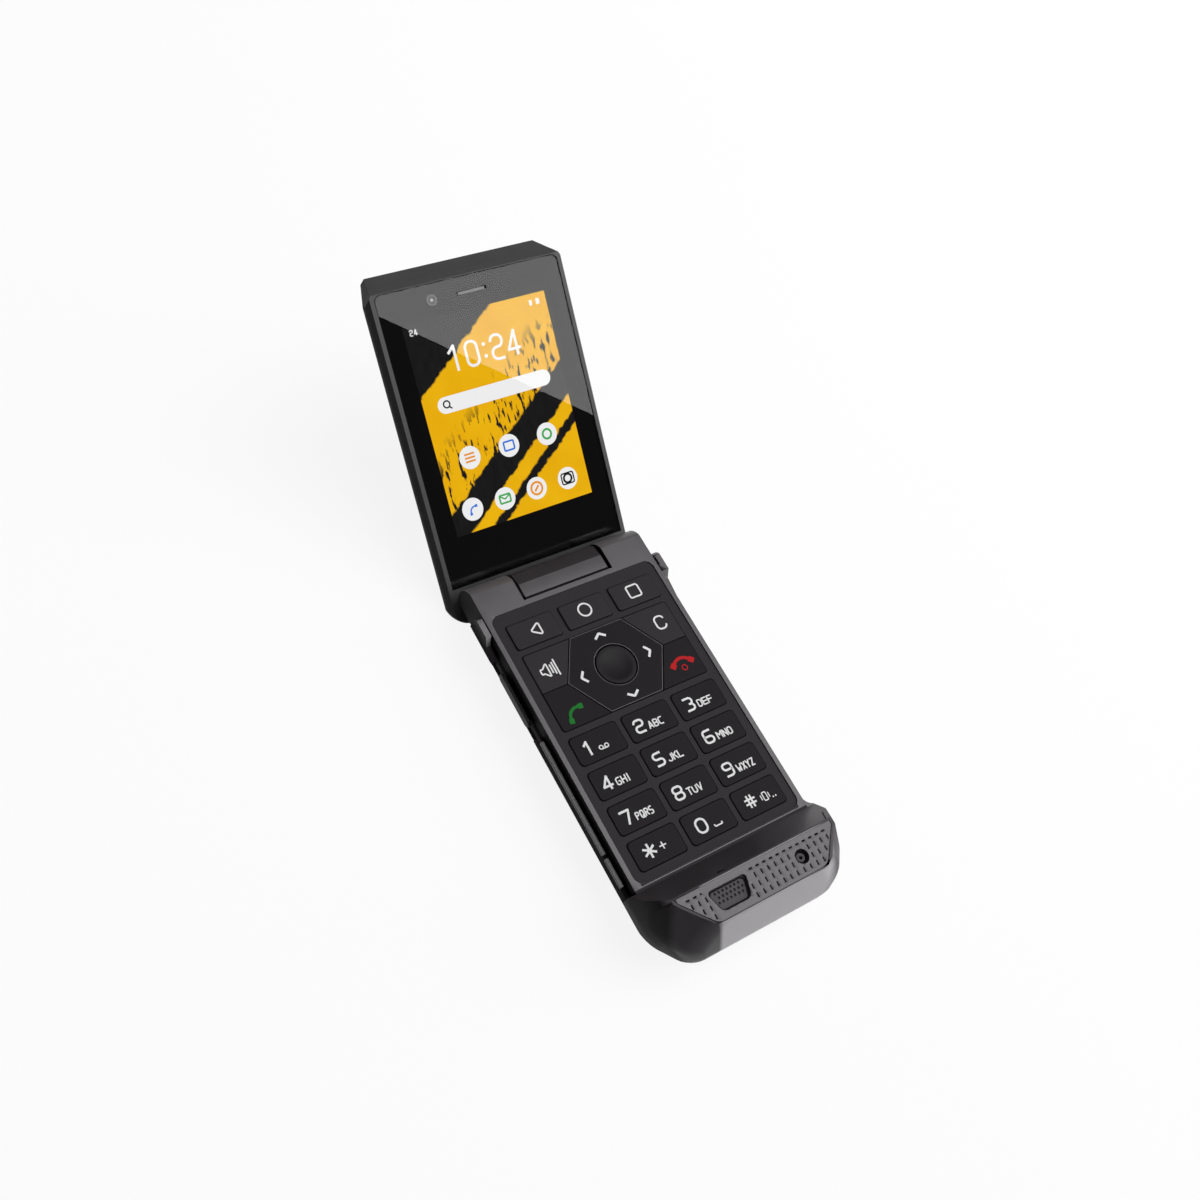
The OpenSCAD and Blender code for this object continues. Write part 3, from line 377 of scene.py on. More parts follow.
def window_glass():
    """Screen glass: glossy in front, printed black behind, but for the display and the camera."""
    finish = Finish("screen_glass_coated")
    x, y, z = finish.millimetres(CLOSE)
    wide = (SCREEN_W / 2 - abs(x)).above(0, 0.05)
    long = (SCREEN_L / 2 - abs(y - SCREEN_MID.y)).above(0, 0.05)
    eye = (EYE_HOLE_SQUARED - from_camera_squared(x, y)).above(0, 0.3)
    clear = wide.both(long).either(eye)
    behind = z.above(GLASS_BACK - PRINT_DEPTH, 0.02)
    smear = finish.noise(12, 3)
    shine = finish.node("ShaderNodeBsdfGlossy", {"Color": (1, 1, 1), "Roughness": smear * 0.015})
    through = finish.node("ShaderNodeBsdfTransparent", {"Color": (1, 1, 1)})
    mirrored = finish.node("ShaderNodeFresnel", {"IOR": 1.46})
    pane = finish.mix_shader(mirrored, through, shine)
    print_black = finish.shader(grey(8), smear * 0.1 + 0.6, {"Specular IOR Level": 0.0})
    coat = finish.mix_shader(clear, print_black, through)
    return finish.done(finish.mix_shader(behind, pane, coat))


def camera_eye_painted_glint():
    """The front camera, glowing as painted light: a dim disc with a bright dot for a painted glint."""
    finish = Finish("camera_eye_painted_glint")
    x, y, _ = finish.millimetres(CLOSE)
    dot = (GLINT_DOT_SQUARED - from_camera_squared(x, y)).above(0, 0.08)
    haze = finish.noise(1)
    shade = finish.mix(dot, finish.mix(haze, grey(76), grey(80)), grey(142))
    return finish.surface(shade, haze * 0.1 + 0.4, {"Specular IOR Level": 0.1, "Emission Color": shade,
                                                    "Emission Strength": 1.0})


def dark_glass(name, colour):
    """Glass that is black behind."""
    finish = Finish(name)
    smear = finish.noise(10, 3)
    shade = finish.mix(smear, dimmed(colour, 0.8), colour)
    return finish.surface(shade, smear * 0.06 + 0.03)


PICTURE = wallpaper()
WINDOW = window_glass()
OUTER_GLASS = dark_glass("outer_glass_black", grey(10))
LENS = moulded("camera_lens", tone(10, 11, 15), 0.3, sheen=0.0)
EYE = camera_eye_painted_glint()
IDLE_DISPLAY = dark_glass("outer_display_idle", grey(18))

# Making pieces
SHARP = math.radians(28)
FLAT = math.radians(0.6)
SMOOTH_LIMIT = math.radians(42)
MERGE = 0.002
CUT_MERGE = 0.0001
NEAR = 0.05
EDGE_ROUND = 0.25


def from_node(node):
    """A merged copy of a CAD node's mesh, in millimetres and with its flat faces whole."""
    bm = bmesh.new()
    bm.from_mesh(frame["nodes"][node].data)
    place = CLOSE if BODY_OF[node] == "lid" else BASE_POSE
    bmesh.ops.transform(bm, matrix=place @ Matrix.Scale(1 / MM, 4), verts=bm.verts)
    bmesh.ops.remove_doubles(bm, verts=bm.verts, dist=MERGE)
    bmesh.ops.dissolve_limit(bm, angle_limit=FLAT, verts=bm.verts, edges=bm.edges)
    return bm


def faces_up(face):
    return face.normal.z > 0.99


def faces_sideways(face):
    return abs(face.normal.x) > 0.6


def verts_of(geom):
    return [g for g in geom if isinstance(g, bmesh.types.BMVert)]


def edges_of(geom):
    return [g for g in geom if isinstance(g, bmesh.types.BMEdge)]


def is_sharp(edge):
    return edge.is_manifold and edge.is_convex and edge.calc_face_angle(0) > SHARP


def bevel(bm, edges, width, segments):
    bmesh.ops.bevel(bm, geom=edges, offset=width, offset_type="OFFSET", segments=segments, profile=0.5,
                    affect="EDGES", clamp_overlap=True, material=-1)


def round_edges(bm, width, segments=2, wanted=is_sharp):
    """Rounds the sharp outer edges that are wanted."""
    bevel(bm, [e for e in bm.edges if is_sharp(e) and wanted(e)], width, segments)


def paint_faces(bm, rule):
    """Sets the number of each face's finish."""
    for face in bm.faces:
        face.material_index = rule(face)


def add_object(name, data):
    made = bpy.data.objects.new(name, data)
    bpy.context.scene.collection.objects.link(made)
    return made


def add_piece(bm, name, body, finishes, stands_for=()):
    """Turns a mesh in millimetres into a piece that rides on its body."""
    place = OPEN if body == "lid" else BASE_POSE
    bmesh.ops.transform(bm, matrix=Matrix.Scale(MM, 4) @ place, verts=bm.verts)
    for face in bm.faces:
        face.smooth = True
    mesh = bpy.data.meshes.new(name)
    bm.to_mesh(mesh)
    bm.free()
    mesh.set_sharp_from_angle(angle=SMOOTH_LIMIT)
    for finish in finishes:
        mesh.materials.append(finish)
    piece = add_object(name, mesh)
    normals = piece.modifiers.new("even_normals", "WEIGHTED_NORMAL")
    normals.keep_sharp = True
    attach(piece, body)
    if stands_for:
        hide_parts(*stands_for)
    return piece


def soften(node, finish, width, segments=2, spread=0.0):
    """Replaces a CAD node by a copy with round edges, drawn wider by spread on each side."""
    bm = from_node(node)
    low, high = corners(node)
    wide, long, _ = high - low
    bmesh.ops.scale(bm, vec=(1 + 2 * spread / wide, 1 + 2 * spread / long, 1), verts=bm.verts,
                    space=Matrix.Translation((low + high) / -2))
    round_edges(bm, width, segments)
    return add_piece(bm, node + "_moulded", BODY_OF[node], [finish], [node])


# Flat drawing. A letter is one or more lines through places in its box, and o closes a line
GRID = ("789", "q e", "456", "z c", "123")
PLACES = {sign: (column / 2, 1 - row / 4)
          for row, signs in enumerate(GRID) for column, sign in enumerate(signs)}
PLACES |= {"u": (0.72, 1), "v": (0.72, 0), "h": (0.15, 0.28), "k": (0.85, 0.28), "n": (0.25, 0),
           "m": (0.75, 0), "s": (0.32, 1), "t": (0.32, 0), "w": (0.68, 1), "x": (0.68, 0), "a": (0, 0.32),
           "b": (1, 0.32), "f": (0, 0.68), "g": (1, 0.68), "p": (0.5, 0.36), "y": (1.15, -0.1)}
ROUND_GLYPHS = {"0": "1793o", "2": "q796413", "3": "7965 5631", "5": "974631", "6": "971364",
                "8": "4796o 1463o", "9": "139746", "C": "9713", "D": "71 7931", "G": "971365", "J": "931z",
                "O": "1793o", "P": "71 7964", "Q": "1793o py", "R": "71 7964 53", "S": "974631",
                "U": "7139", "B": "71 7964 4631"}
STRAIGHT_GLYPHS = {"1": "q82", "4": "uzc uv", "7": "792", "A": "183 hk", "E": "9713 46", "F": "971 46",
                   "H": "71 93 46", "I": "82", "K": "71 94 53", "L": "713", "M": "17593", "N": "1739",
                   "T": "79 82", "V": "729", "W": "7n5m9", "X": "73 91", "Y": "759 52", "Z": "7913",
                   "#": "st wx ab fg", "*": "82 qc ze", "+": "82 46"}
SHARE_OF_WIDTH = {"W": 1.5, "M": 1.25, "I": 0.5}
FULL_BEND = 0.48
HALF_BEND = 0.24
WIDE_BEND = 0.46
LEAST_BEND = 0.52
CORNER_FILL = 0.35
ARC_STEP = math.radians(15)
CIRCLE_STEPS = 32
CHEVRON_LINE = 0.68
LIFT = 0.0002


def push(bm, edge, move):
    """Draws an edge out along move, and gives the edge at the far end."""
    made = bmesh.ops.extrude_edge_only(bm, edges=[edge])["geom"]
    verts = verts_of(made)
    bmesh.ops.translate(bm, vec=move, verts=verts)
    return next(e for e in edges_of(made) if all(v in verts for v in e.verts))


def swing(bm, edge, centre, turn):
    """Draws an edge round a centre, and gives the edge at the far end."""
    steps = max(2, math.ceil(abs(turn) / ARC_STEP))
    last = bmesh.ops.spin(bm, geom=[edge, *edge.verts], cent=centre, axis=(0, 0, 1), angle=turn, steps=steps,
                          use_merge=False)["geom_last"]
    return edges_of(last)[0]


def stroke(bm, points, width, bend=0.0, closed=False):
    """A flat line through the points, with its corners turned on arcs of radius bend.

    Each line lies a hair above the last, so that lines that cross never share a plane.
    """
    level = LIFT * len(bm.verts)
    path = [Vector((*p, level)) for p in points]
    if closed:
        start = (path[0] + path[1]) / 2
        path = [start, *path[1:], path[0], start]
    radius = max(bend, width * LEAST_BEND)
    heading = (path[1] - path[0]).normalized()
    half = Vector((-heading.y, heading.x, 0)) * width / 2
    edge = bm.edges.new([bm.verts.new(path[0] + half), bm.verts.new(path[0] - half)])
    here = path[0]
    for corner, after in zip(path[1:], [*path[2:], None]):
        if after is None:
            push(bm, edge, corner - here)
            break
        ahead = (after - corner).normalized()
        turn = math.atan2(heading.cross(ahead).z, heading.dot(ahead))
        trim = radius * math.tan(abs(turn) / 2)
        bend_start = corner - heading * trim
        edge = push(bm, edge, bend_start - here)
        left = Vector((-heading.y, heading.x, 0)) * math.copysign(radius, turn)
        edge = swing(bm, edge, bend_start + left, turn)
        here = corner + ahead * trim
        heading = ahead


def legs(bm, points, width):
    """Straight lines between the points, a little long so that the corners are filled."""
    for start, end in zip(points, points[1:]):
        start, end = Vector(start), Vector(end)
        over = (end - start).normalized() * width * CORNER_FILL
        stroke(bm, [start - over, end + over], width)


def box(bm, centre, half_wide, half_tall, width, bend):
    x, y = centre
    stroke(bm, [(x - half_wide, y - half_tall), (x + half_wide, y - half_tall),
                (x + half_wide, y + half_tall), (x - half_wide, y + half_tall)], width, bend, True)


def full_turn(bm, geom, centre=(0, 0, 0), steps=CIRCLE_STEPS):
    bmesh.ops.spin(bm, geom=geom, cent=centre, axis=(0, 0, 1), angle=math.tau, steps=steps, use_merge=True)


def ring(bm, centre, radius, width):
    x, y = centre
    level = LIFT * len(bm.verts)
    edge = bm.edges.new([bm.verts.new((x + radius + side * width / 2, y, level)) for side in (-1, 1)])
    full_turn(bm, [edge, *edge.verts], (x, y, level))


def disc(bm, centre, radius):
    place = Matrix.Translation((*centre, LIFT * len(bm.verts)))
    bmesh.ops.create_circle(bm, cap_ends=True, segments=CIRCLE_STEPS, radius=radius, matrix=place)


def write(bm, words, left, base, wide, tall, width, gap=0):
    """Draws letters from a left edge and a base line."""
    for letter in words:
        share = wide * SHARE_OF_WIDTH.get(letter, 1)
        round_letter = letter in ROUND_GLYPHS
        for part in (ROUND_GLYPHS if round_letter else STRAIGHT_GLYPHS)[letter].split():
            line = part.rstrip("o")
            points = [(left + PLACES[p][0] * share, base + PLACES[p][1] * tall) for p in line]
            if round_letter:
                halved = any(p in line[1:] for p in "456")
                bend = min(tall * (HALF_BEND if halved else FULL_BEND), wide * WIDE_BEND)
                stroke(bm, points, width, bend, part.endswith("o"))
            else:
                legs(bm, points, width)
        left += share + gap


def chevron(bm, centre, half, depth, heading):
    x, y = centre
    dx, dy = (h * depth / 2 for h in heading)
    wx, wy = heading[1] * half, -heading[0] * half
    stroke(bm, [(x - dx + wx, y - dy + wy), (x + dx, y + dy), (x - dx - wx, y - dy - wy)], CHEVRON_LINE)


def handset(bm, centre, size, turn):
    """A telephone handset, its back to the top before it is turned."""
    start = len(bm.verts)
    stroke(bm, [(-2.9, -0.9), (0, 1.7), (2.9, -0.9)], 0.85, 2.8)
    for side in (-1, 1):
        stroke(bm, [(side * 3.2, -1.2), (side * 2.1, -0.2)], 1.5)
    bm.verts.ensure_lookup_table()
    turned = Matrix.Rotation(math.radians(turn), 4, "Z") @ Matrix.Scale(size, 4)
    bmesh.ops.transform(bm, matrix=Matrix.Translation((*centre, 0)) @ turned, verts=bm.verts[start:])


def thicken(bm, height):
    bmesh.ops.remove_doubles(bm, verts=bm.verts, dist=MERGE)
    made = bmesh.ops.extrude_face_region(bm, geom=bm.faces[:])["geom"]
    bmesh.ops.translate(bm, vec=(0, 0, height), verts=verts_of(made))
    bmesh.ops.recalc_face_normals(bm, faces=bm.faces)


def flat_piece(name, body, finish, draw, height, place):
    """A piece made of a flat drawing, with a height and a place."""
    bm = bmesh.new()
    draw(bm)
    thicken(bm, height)
    bmesh.ops.transform(bm, matrix=place, verts=bm.verts)
    add_piece(bm, name, body, [finish])


def raised(height):
    return Matrix.Translation((0, 0, height))


INK = 0.05
SINK = 0.03


def legend(node, finish, draw):
    """A printed legend, drawn about the centre of a key's top."""
    top = corners(node)[1].z
    place = Matrix.Translation((*middle(node).xy, top - SINK))
    flat_piece(node + "_legend", BODY_OF[node], finish, draw, INK + SINK, place)


# Base: the deck, whose front rim has the panel's tone
DECK_LOW, DECK_HIGH = corners("deck_frame")
PANEL_LOW, PANEL_HIGH = corners("keypad_panel")
FRONT_EDGE = 0.35
RIM_END = 0.8
RIM_BACK = 3.5


def cut_faces(bm, wanted, point, normal):
    faces = [f for f in bm.faces if wanted(f)]
    edges = dict.fromkeys(e for f in faces for e in f.edges)
    verts = dict.fromkeys(v for f in faces for v in f.verts)
    bmesh.ops.bisect_plane(bm, geom=[*faces, *edges, *verts], dist=CUT_MERGE, plane_co=point,
                           plane_no=normal)


def is_deck_top(face):
    return faces_up(face) and face.calc_center_median().z > DECK_HIGH.z - NEAR


def is_front_rim(face):
    mid = face.calc_center_median()
    in_front = DECK_LOW.y + FRONT_EDGE < mid.y < PANEL_LOW.y + RIM_BACK
    return is_deck_top(face) and in_front and abs(mid.x) < PANEL_HIGH.x - RIM_END


# The knuckles' lower corners are cut along the flanks, so that each side is one straight line
deck = from_node("deck_frame")
shell = from_node("rear_shell")
beside_deck = [v.co for v in shell.verts if v.co.y > DECK_LOW.y]
BACK_HALF = max(co.x for co in beside_deck if co.z < NEAR)
RAIL_EDGE = max(beside_deck, key=lambda co: (round(co.x, 2), -co.z))
FLANK_RATE = (RAIL_EDGE.x - BACK_HALF) / RAIL_EDGE.z
for side in (-1, 1):
    cut = bmesh.ops.bisect_plane(deck, geom=[*deck.verts, *deck.edges, *deck.faces], dist=CUT_MERGE,
                                 clear_outer=True, plane_co=(side * BACK_HALF, 0, 0),
                                 plane_no=Vector((side, 0, -FLANK_RATE)).normalized())["geom_cut"]
    bmesh.ops.edgeloop_fill(deck, edges=edges_of(cut))
round_edges(deck, EDGE_ROUND)
for side in (-1, 1):
    cut_faces(deck, is_deck_top, (side * (PANEL_HIGH.x - RIM_END), 0, 0), (1, 0, 0))
for cut_y in (DECK_LOW.y + FRONT_EDGE, PANEL_LOW.y + RIM_BACK):
    cut_faces(deck, is_deck_top, (0, cut_y, 0), (0, 1, 0))
# Painted shade: the deck's side faces are near black
paint_faces(deck, lambda face: 1 if faces_sideways(face) else 2 if is_front_rim(face) else 0)
add_piece(deck, "deck_frame_moulded", "base", [DECK, SHADE_AND_SEAM_BLACK, PANEL], ["deck_frame"])
soften("keypad_panel", PANEL, 0.12)

# The rear shell. The lugs are wider inwards, and the right one, whose outer side shows, outwards too
LUG_LENGTH = 9
LUG_START = corners("rear_shell")[1].y - LUG_LENGTH
RAIL_TOP = 11
LUG_FLOOR = 13
LUG_OUTER_FROM = 28.3
STRAP_SLOT_FROM = 27.9
LUG_INNER_TO = 28
LUG_OUTER = 29.15
STRAP_SLOT = 27.5
LUG_INNER = 26.95
for vert in shell.verts:
    x, y, z = vert.co
    if y > LUG_START and z > RAIL_TOP:
        if x > LUG_OUTER_FROM:
            vert.co.x = LUG_OUTER
        elif x > STRAP_SLOT_FROM:
            vert.co.x = STRAP_SLOT
        elif z > LUG_FLOOR and abs(x) <= LUG_INNER_TO:
            vert.co.x = math.copysign(LUG_INNER, x)

CREASE_LOW = 5
CREASE_HIGH = 20
CREASE_ROUND = 1.4
CORNER_ROUND = 3.6
FLANK_ROUND = 4.4
FLANK_FROM_X = 24
FLANK_FROM_Y = -45
BACK_ROUND = 0.9
SLOPE_RUN = 6.2
SLOPE_BACK = max(v.co.y for v in shell.verts if v.co.z > CHIN_HIGH.z - NEAR)
SLOPE_RATE = (CHIN_HIGH.z - DECK_HIGH.z) / SLOPE_RUN


def on_chin(edge, low, high):
    """True for an edge of the chin's front part that lies between two heights."""
    return all(v.co.y < CHIN_HIGH.y - 1 and low < v.co.z < high for v in edge.verts)


def is_level(edge):
    return abs(edge.verts[0].co.z - edge.verts[1].co.z) < 0.3


def chin_crease(edge):
    return on_chin(edge, CREASE_LOW, CREASE_HIGH) and is_level(edge)


def chin_corner(edge):
    first, second = (v.co for v in edge.verts)
    return first.x * second.x > 0 and max(first.y, second.y) < CHIN_LOW.y + 0.5 and not is_level(edge)


def chin_flank(edge):
    """True for the corner between a facet of the chin and its flank."""
    beside = all(abs(v.co.x) > FLANK_FROM_X and v.co.y > FLANK_FROM_Y for v in edge.verts)
    return beside and on_chin(edge, -1, CHIN_HIGH.z + 0.1) and not is_level(edge)


def on_back(edge):
    return max(v.co.z for v in edge.verts) < NEAR


def slope_height(y):
    """Height of the slope between the chin's top and the deck."""
    return CHIN_HIGH.z - (y - SLOPE_BACK) * SLOPE_RATE


def on_slope(edge):
    return all(abs(slope_height(v.co.y) - v.co.z) < NEAR for v in edge.verts)


def has_room(edge):
    """True where no shorter edge at either end would hold the rounding back."""
    return all(near.calc_length() > EDGE_ROUND * 1.1 for vert in edge.verts for near in vert.link_edges)


def shell_tone(face):
    mid = face.calc_center_median()
    if face.normal.z < -0.25:
        return 1
    if mid.y > LUG_START and mid.z > RAIL_TOP:
        if face.normal.z > 0.5:
            return 2
        # Painted light: the lugs' inner and front faces are lighter, as if lit
        if face.normal.x * mid.x < -0.6 * abs(mid.x) or face.normal.y < -0.6:
            return 3
    return int(mid.y > DECK_LOW.y and faces_sideways(face))


round_edges(shell, CREASE_ROUND, 3, chin_crease)
round_edges(shell, CORNER_ROUND, 6, chin_corner)
round_edges(shell, FLANK_ROUND, 6, chin_flank)
round_edges(shell, BACK_ROUND, 3, on_back)
round_edges(shell, EDGE_ROUND, 2, on_slope)
round_edges(shell, EDGE_ROUND, 2, has_room)
bmesh.ops.remove_doubles(shell, verts=shell.verts, dist=0.01)
bmesh.ops.recalc_face_normals(shell, faces=shell.faces)
paint_faces(shell, shell_tone)
add_piece(shell, "rear_shell_moulded", "base", [CHIN, SHELL, DECK, LUG], ["rear_shell"])

# The barrel is slimmer than its solid, so that the gaps round it show
BARREL_SLIM = 0.94
BARREL_SHORT = 0.955
BARREL_TURN = 0.22


# Painted shade: faces turned towards the lid are darker, and faces turned to the front, down in the gap under the
# deck, near black
def barrel_painted_shade(face):
    back = (OPEN.to_3x3() @ face.normal).y
    return 1 if back > BARREL_TURN else 2 if back < -BARREL_TURN else 0


barrel = from_node("hinge_barrel")
bmesh.ops.scale(barrel, vec=(BARREL_SHORT, BARREL_SLIM, BARREL_SLIM), verts=barrel.verts,
                space=Matrix.Translation(-HINGE))
round_edges(barrel, EDGE_ROUND)
barrel.normal_update()
paint_faces(barrel, barrel_painted_shade)
add_piece(barrel, "hinge_barrel_moulded", "lid", [DECK, BARREL_BACK_SHADE, SHADE_AND_SEAM_BLACK], ["hinge_barrel"])

# Marks on the slope
SLOPE_TILT = math.atan(SLOPE_RATE)


def slope_mark(name, x, y, draw):
    """A dark mark drawn about a place on the slope, with up towards the deck."""
    place = Matrix.Translation((x, y, slope_height(y))) @ Matrix.Rotation(-SLOPE_TILT, 4, "X")
    flat_piece(name, "base", SHADE_AND_SEAM_BLACK, draw, INK, place)


def finger_notch(bm):
    stroke(bm, [(-1, -0.3), (-0.6, 0.2), (0.6, 0.2), (1, -0.3)], 0.3, 0.4)
    stroke(bm, [(-0.85, -0.1), (0.85, -0.1)], 0.5)


def end_line(bm):
    stroke(bm, [(0, 0), (-2.7, -4.9)], 0.32)


# The finger notch is painted shade of a small hollow in the slope; the end line is a dark seam
slope_mark("chin_notch", -8.9, -36.1, finger_notch)
slope_mark("chin_end_line", 25.6, -34.3, end_line)

# The deck's right front corner runs out in a hollow curve, and a seam fills the gap in front
FLARE_RADIUS = 3.3
FLARE_TURN = math.radians(72)
FLARE_OVERLAP = 0.15
FLARE_DROP = 0.02
FLARE_X = DECK_HIGH.x - FLARE_OVERLAP
SLOPE_FOOT = SLOPE_BACK + SLOPE_RUN
SEAM_SINK = 0.15
SEAM_H = 0.3
SEAM_OVERLAP = 0.1


def corner_flare(bm):
    start_y = SLOPE_FOOT + FLARE_RADIUS
    start = bm.verts.new((FLARE_X, start_y, RAIL_TOP))
    bmesh.ops.spin(bm, geom=[start], cent=(FLARE_X + FLARE_RADIUS, start_y, RAIL_TOP), axis=(0, 0, 1),
                   angle=FLARE_TURN, steps=10, use_merge=False)
    curve = sorted(bm.verts, key=lambda v: v.co.x)
    ends = (curve[-1].co.x, FLARE_X)
    foot = [bm.verts.new((x, SLOPE_FOOT - FLARE_OVERLAP, RAIL_TOP)) for x in ends]
    bm.faces.new([*curve, *foot])


def front_seam(bm):
    y = (DECK_LOW.y + SLOPE_FOOT) / 2
    stroke(bm, [(-FLARE_X, y), (FLARE_X, y)], DECK_LOW.y - SLOPE_FOOT + SEAM_OVERLAP)


flat_piece("deck_corner_flare", "base", DECK, corner_flare, DECK_HIGH.z - RAIL_TOP - FLARE_DROP, BASE_POSE)
flat_piece("deck_front_seam", "base", PANEL, front_seam, SEAM_H, raised(DECK_HIGH.z - SEAM_SINK - SEAM_H))

# The tiled insert, with slots that keep off the speaker window and the microphone
SLOT_PITCH = 2.05
SLOT_W = 0.5
SLOT_ROWS = ((-45.7, -44.4), (-43.5, -42.2), (-41.3, -40.0))
SLOT_DEPTH = 0.35
SLOT_XS = [SLOT_PITCH * step for step in range(-10, 11)]
TICK_REACH = 0.85
TICK_ROW = (-39.1, -38.65)
MESH_MID = middle("speaker_mesh")
MIC_MID = middle("microphone")
OFF_WINDOW_HALF = 6
OFF_WINDOW_LEAN = 0.29
OFF_WINDOW_HALF_L = 3.6
OFF_MIC = 2.9


def is_top(face):
    return faces_up(face) and face.calc_center_median().z > CHIN_HIGH.z - NEAR


def is_slot(face):
    mid = face.calc_center_median()
    row = any(low < mid.y < high for low, high in SLOT_ROWS)
    column = any(abs(mid.x - x) < SLOT_W / 2 for x in SLOT_XS)
    tick = any(x - TICK_REACH < mid.x < x + SLOT_W / 2 for x in SLOT_XS)
    tick = tick and TICK_ROW[0] < mid.y < TICK_ROW[1]
    across, along = mid.xy - MESH_MID.xy
    by_window = abs(across) < OFF_WINDOW_HALF + along * OFF_WINDOW_LEAN and abs(along) < OFF_WINDOW_HALF_L
    by_mic = (mid.xy - MIC_MID.xy).length < OFF_MIC
    return is_top(face) and ((row and column) or tick) and not by_window and not by_mic


def is_upright(edge):
    return (edge.verts[0].co.xy - edge.verts[1].co.xy).length < 0.01


def round_uprights(bm, width, wanted):
    """Rounds the upright edges that are wanted, inner corners too."""
    uprights = [e for e in bm.edges if is_upright(e) and e.calc_face_angle(0) > SHARP]
    bevel(bm, [e for e in uprights if wanted(e.verts[0].co)], width, 5)


def at_window(point):
    return (point - MESH_MID).xy.length < 8


def at_front_corner(point):
    return point.y < CHIN_LOW.y + 1 and not at_window(point)


def at_outline(edge):
    """True for the top outline of the insert, but not for its back edge or its openings."""
    first, second = (v.co for v in edge.verts)
    on_top = min(first.z, second.z) > CHIN_HIGH.z - 0.01
    apart = not any(at_window(p) or (p - MIC_MID).xy.length < 2.5 for p in (first, second))
    return on_top and apart and (first.y + second.y) / 2 < CHIN_HIGH.y - 0.1


insert = from_node("chin_insert")
round_uprights(insert, 1.3, at_window)
round_uprights(insert, 1.5, at_front_corner)
round_edges(insert, 0.3, 1, at_outline)
# Painted shade: the insert's slanted outline faces give a dark line for the gap round it
paint_faces(insert, lambda face: int(0.3 < face.normal.z < 0.95))
round_edges(insert, 0.12)
for x in SLOT_XS:
    for reach in (-TICK_REACH, -SLOT_W / 2, SLOT_W / 2):
        cut_faces(insert, is_top, (x + reach, 0, 0), (1, 0, 0))
for row in (*SLOT_ROWS, TICK_ROW):
    for y in row:
        cut_faces(insert, is_top, (0, y, 0), (0, 1, 0))
slots = [f for f in insert.faces if is_slot(f)]
# The slot floors are darkened with painted shade
floors = bmesh.ops.extrude_discrete_faces(insert, faces=slots)["faces"]
for face in floors:
    face.material_index = 2
    bmesh.ops.translate(insert, vec=(0, 0, -SLOT_DEPTH), verts=face.verts)
add_piece(insert, "chin_insert_moulded", "base", [INSERT, SHADE_AND_SEAM_BLACK, SLOT_FLOOR_SHADE], ["chin_insert"])

# The speaker window
MESH_LOW, MESH_HIGH = corners("speaker_mesh")
WINDOW_BACK_HALF = 5.7
WINDOW_FRONT_HALF = 4.1
WINDOW_HALF_L = 2.75
GROOVE_SHADE_W = 0.4
GROOVE_SHADE_H = 0.2
GROOVE_SHADE_BEND = 1.1
FELT_INSET = 0.5
FELT_H = 0.1


def window_corners(inset):
    x, y = MESH_MID.xy
    back, front, long = (half - inset for half in (WINDOW_BACK_HALF, WINDOW_FRONT_HALF, WINDOW_HALF_L))
    return [(x - back, y + long), (x - front, y - long), (x + front, y - long), (x + back, y + long)]


def groove_shade(bm):
    stroke(bm, window_corners(GROOVE_SHADE_W / 2), GROOVE_SHADE_W, GROOVE_SHADE_BEND, True)


def felt(bm):
    bm.faces.new([bm.verts.new((*p, 0)) for p in window_corners(FELT_INSET)])


# A dark ring of painted shade stands in for the groove round the speaker mesh
flat_piece("speaker_window_groove_shade", "base", SHADE_AND_SEAM_BLACK, groove_shade, GROOVE_SHADE_H, raised(MESH_HIGH.z))
flat_piece("speaker_felt", "base", FELT, felt, FELT_H, raised(MESH_LOW.z - FELT_H))

# The left strips, which the camera sees nearly from above, are drawn further out
STRIP_OUT = 0.55
STRIP_ROUND = 0.2
strips = from_node("side_strips")
strip_low = corners("side_strips")[0]
for vert in strips.verts:
    if vert.co.x < strip_low.x + 0.1:
        vert.co.x -= STRIP_OUT
        if vert.co.z < strip_low.z + 0.1:
            vert.co.z -= STRIP_OUT / 2
round_edges(strips, STRIP_ROUND)
add_piece(strips, "side_strips_moulded", "base", [STRIP], ["side_strips"])
soften("volume_rocker", SIDE_BUTTON, 0.3)
soften("side_key", SIDE_BUTTON, 0.3)
soften("port_flap", RUBBER, 0.2)
soften("battery_cover", SHELL, 0.2)

# Keys, spread a little so that the gaps between them look thin
UPPER_KEYS = ("back_key", "home_key", "recents_key", "speaker_key", "clear_key")
LOWER_KEYS = (*(f"key_{number}" for number in range(1, 10)), "star_key", "key_0", "hash_key", "call_key",
              "end_key")
KEY_SPREAD = 0.1
CAP_ROUND = 0.3
KEY_ROUND = 0.2
PAD_ROUND = 0.12
PAD_EDGE_W = 0.14
for name in UPPER_KEYS:
    soften(name, NAV_CAP, CAP_ROUND, 3, spread=KEY_SPREAD)
for name in LOWER_KEYS:
    soften(name, KEYCAP, KEY_ROUND, spread=KEY_SPREAD)
soften("ok_key", CENTRE_CAP, CAP_ROUND, 3)
pad = from_node("dpad_plate")
pad_high = corners("dpad_plate")[1]
round_edges(pad, PAD_ROUND)
pad_top = [f for f in pad.faces if faces_up(f) and f.calc_center_median().z > pad_high.z - 0.01]
# Painted highlight: a lighter ring along the top edge of the rocking plate
for face in bmesh.ops.inset_region(pad, faces=pad_top, thickness=PAD_EDGE_W, use_even_offset=True)["faces"]:
    face.material_index = 1
add_piece(pad, "dpad_plate_moulded", "dpad_plate", [KEYCAP, PAD_EDGE_HIGHLIGHT], ["dpad_plate"])

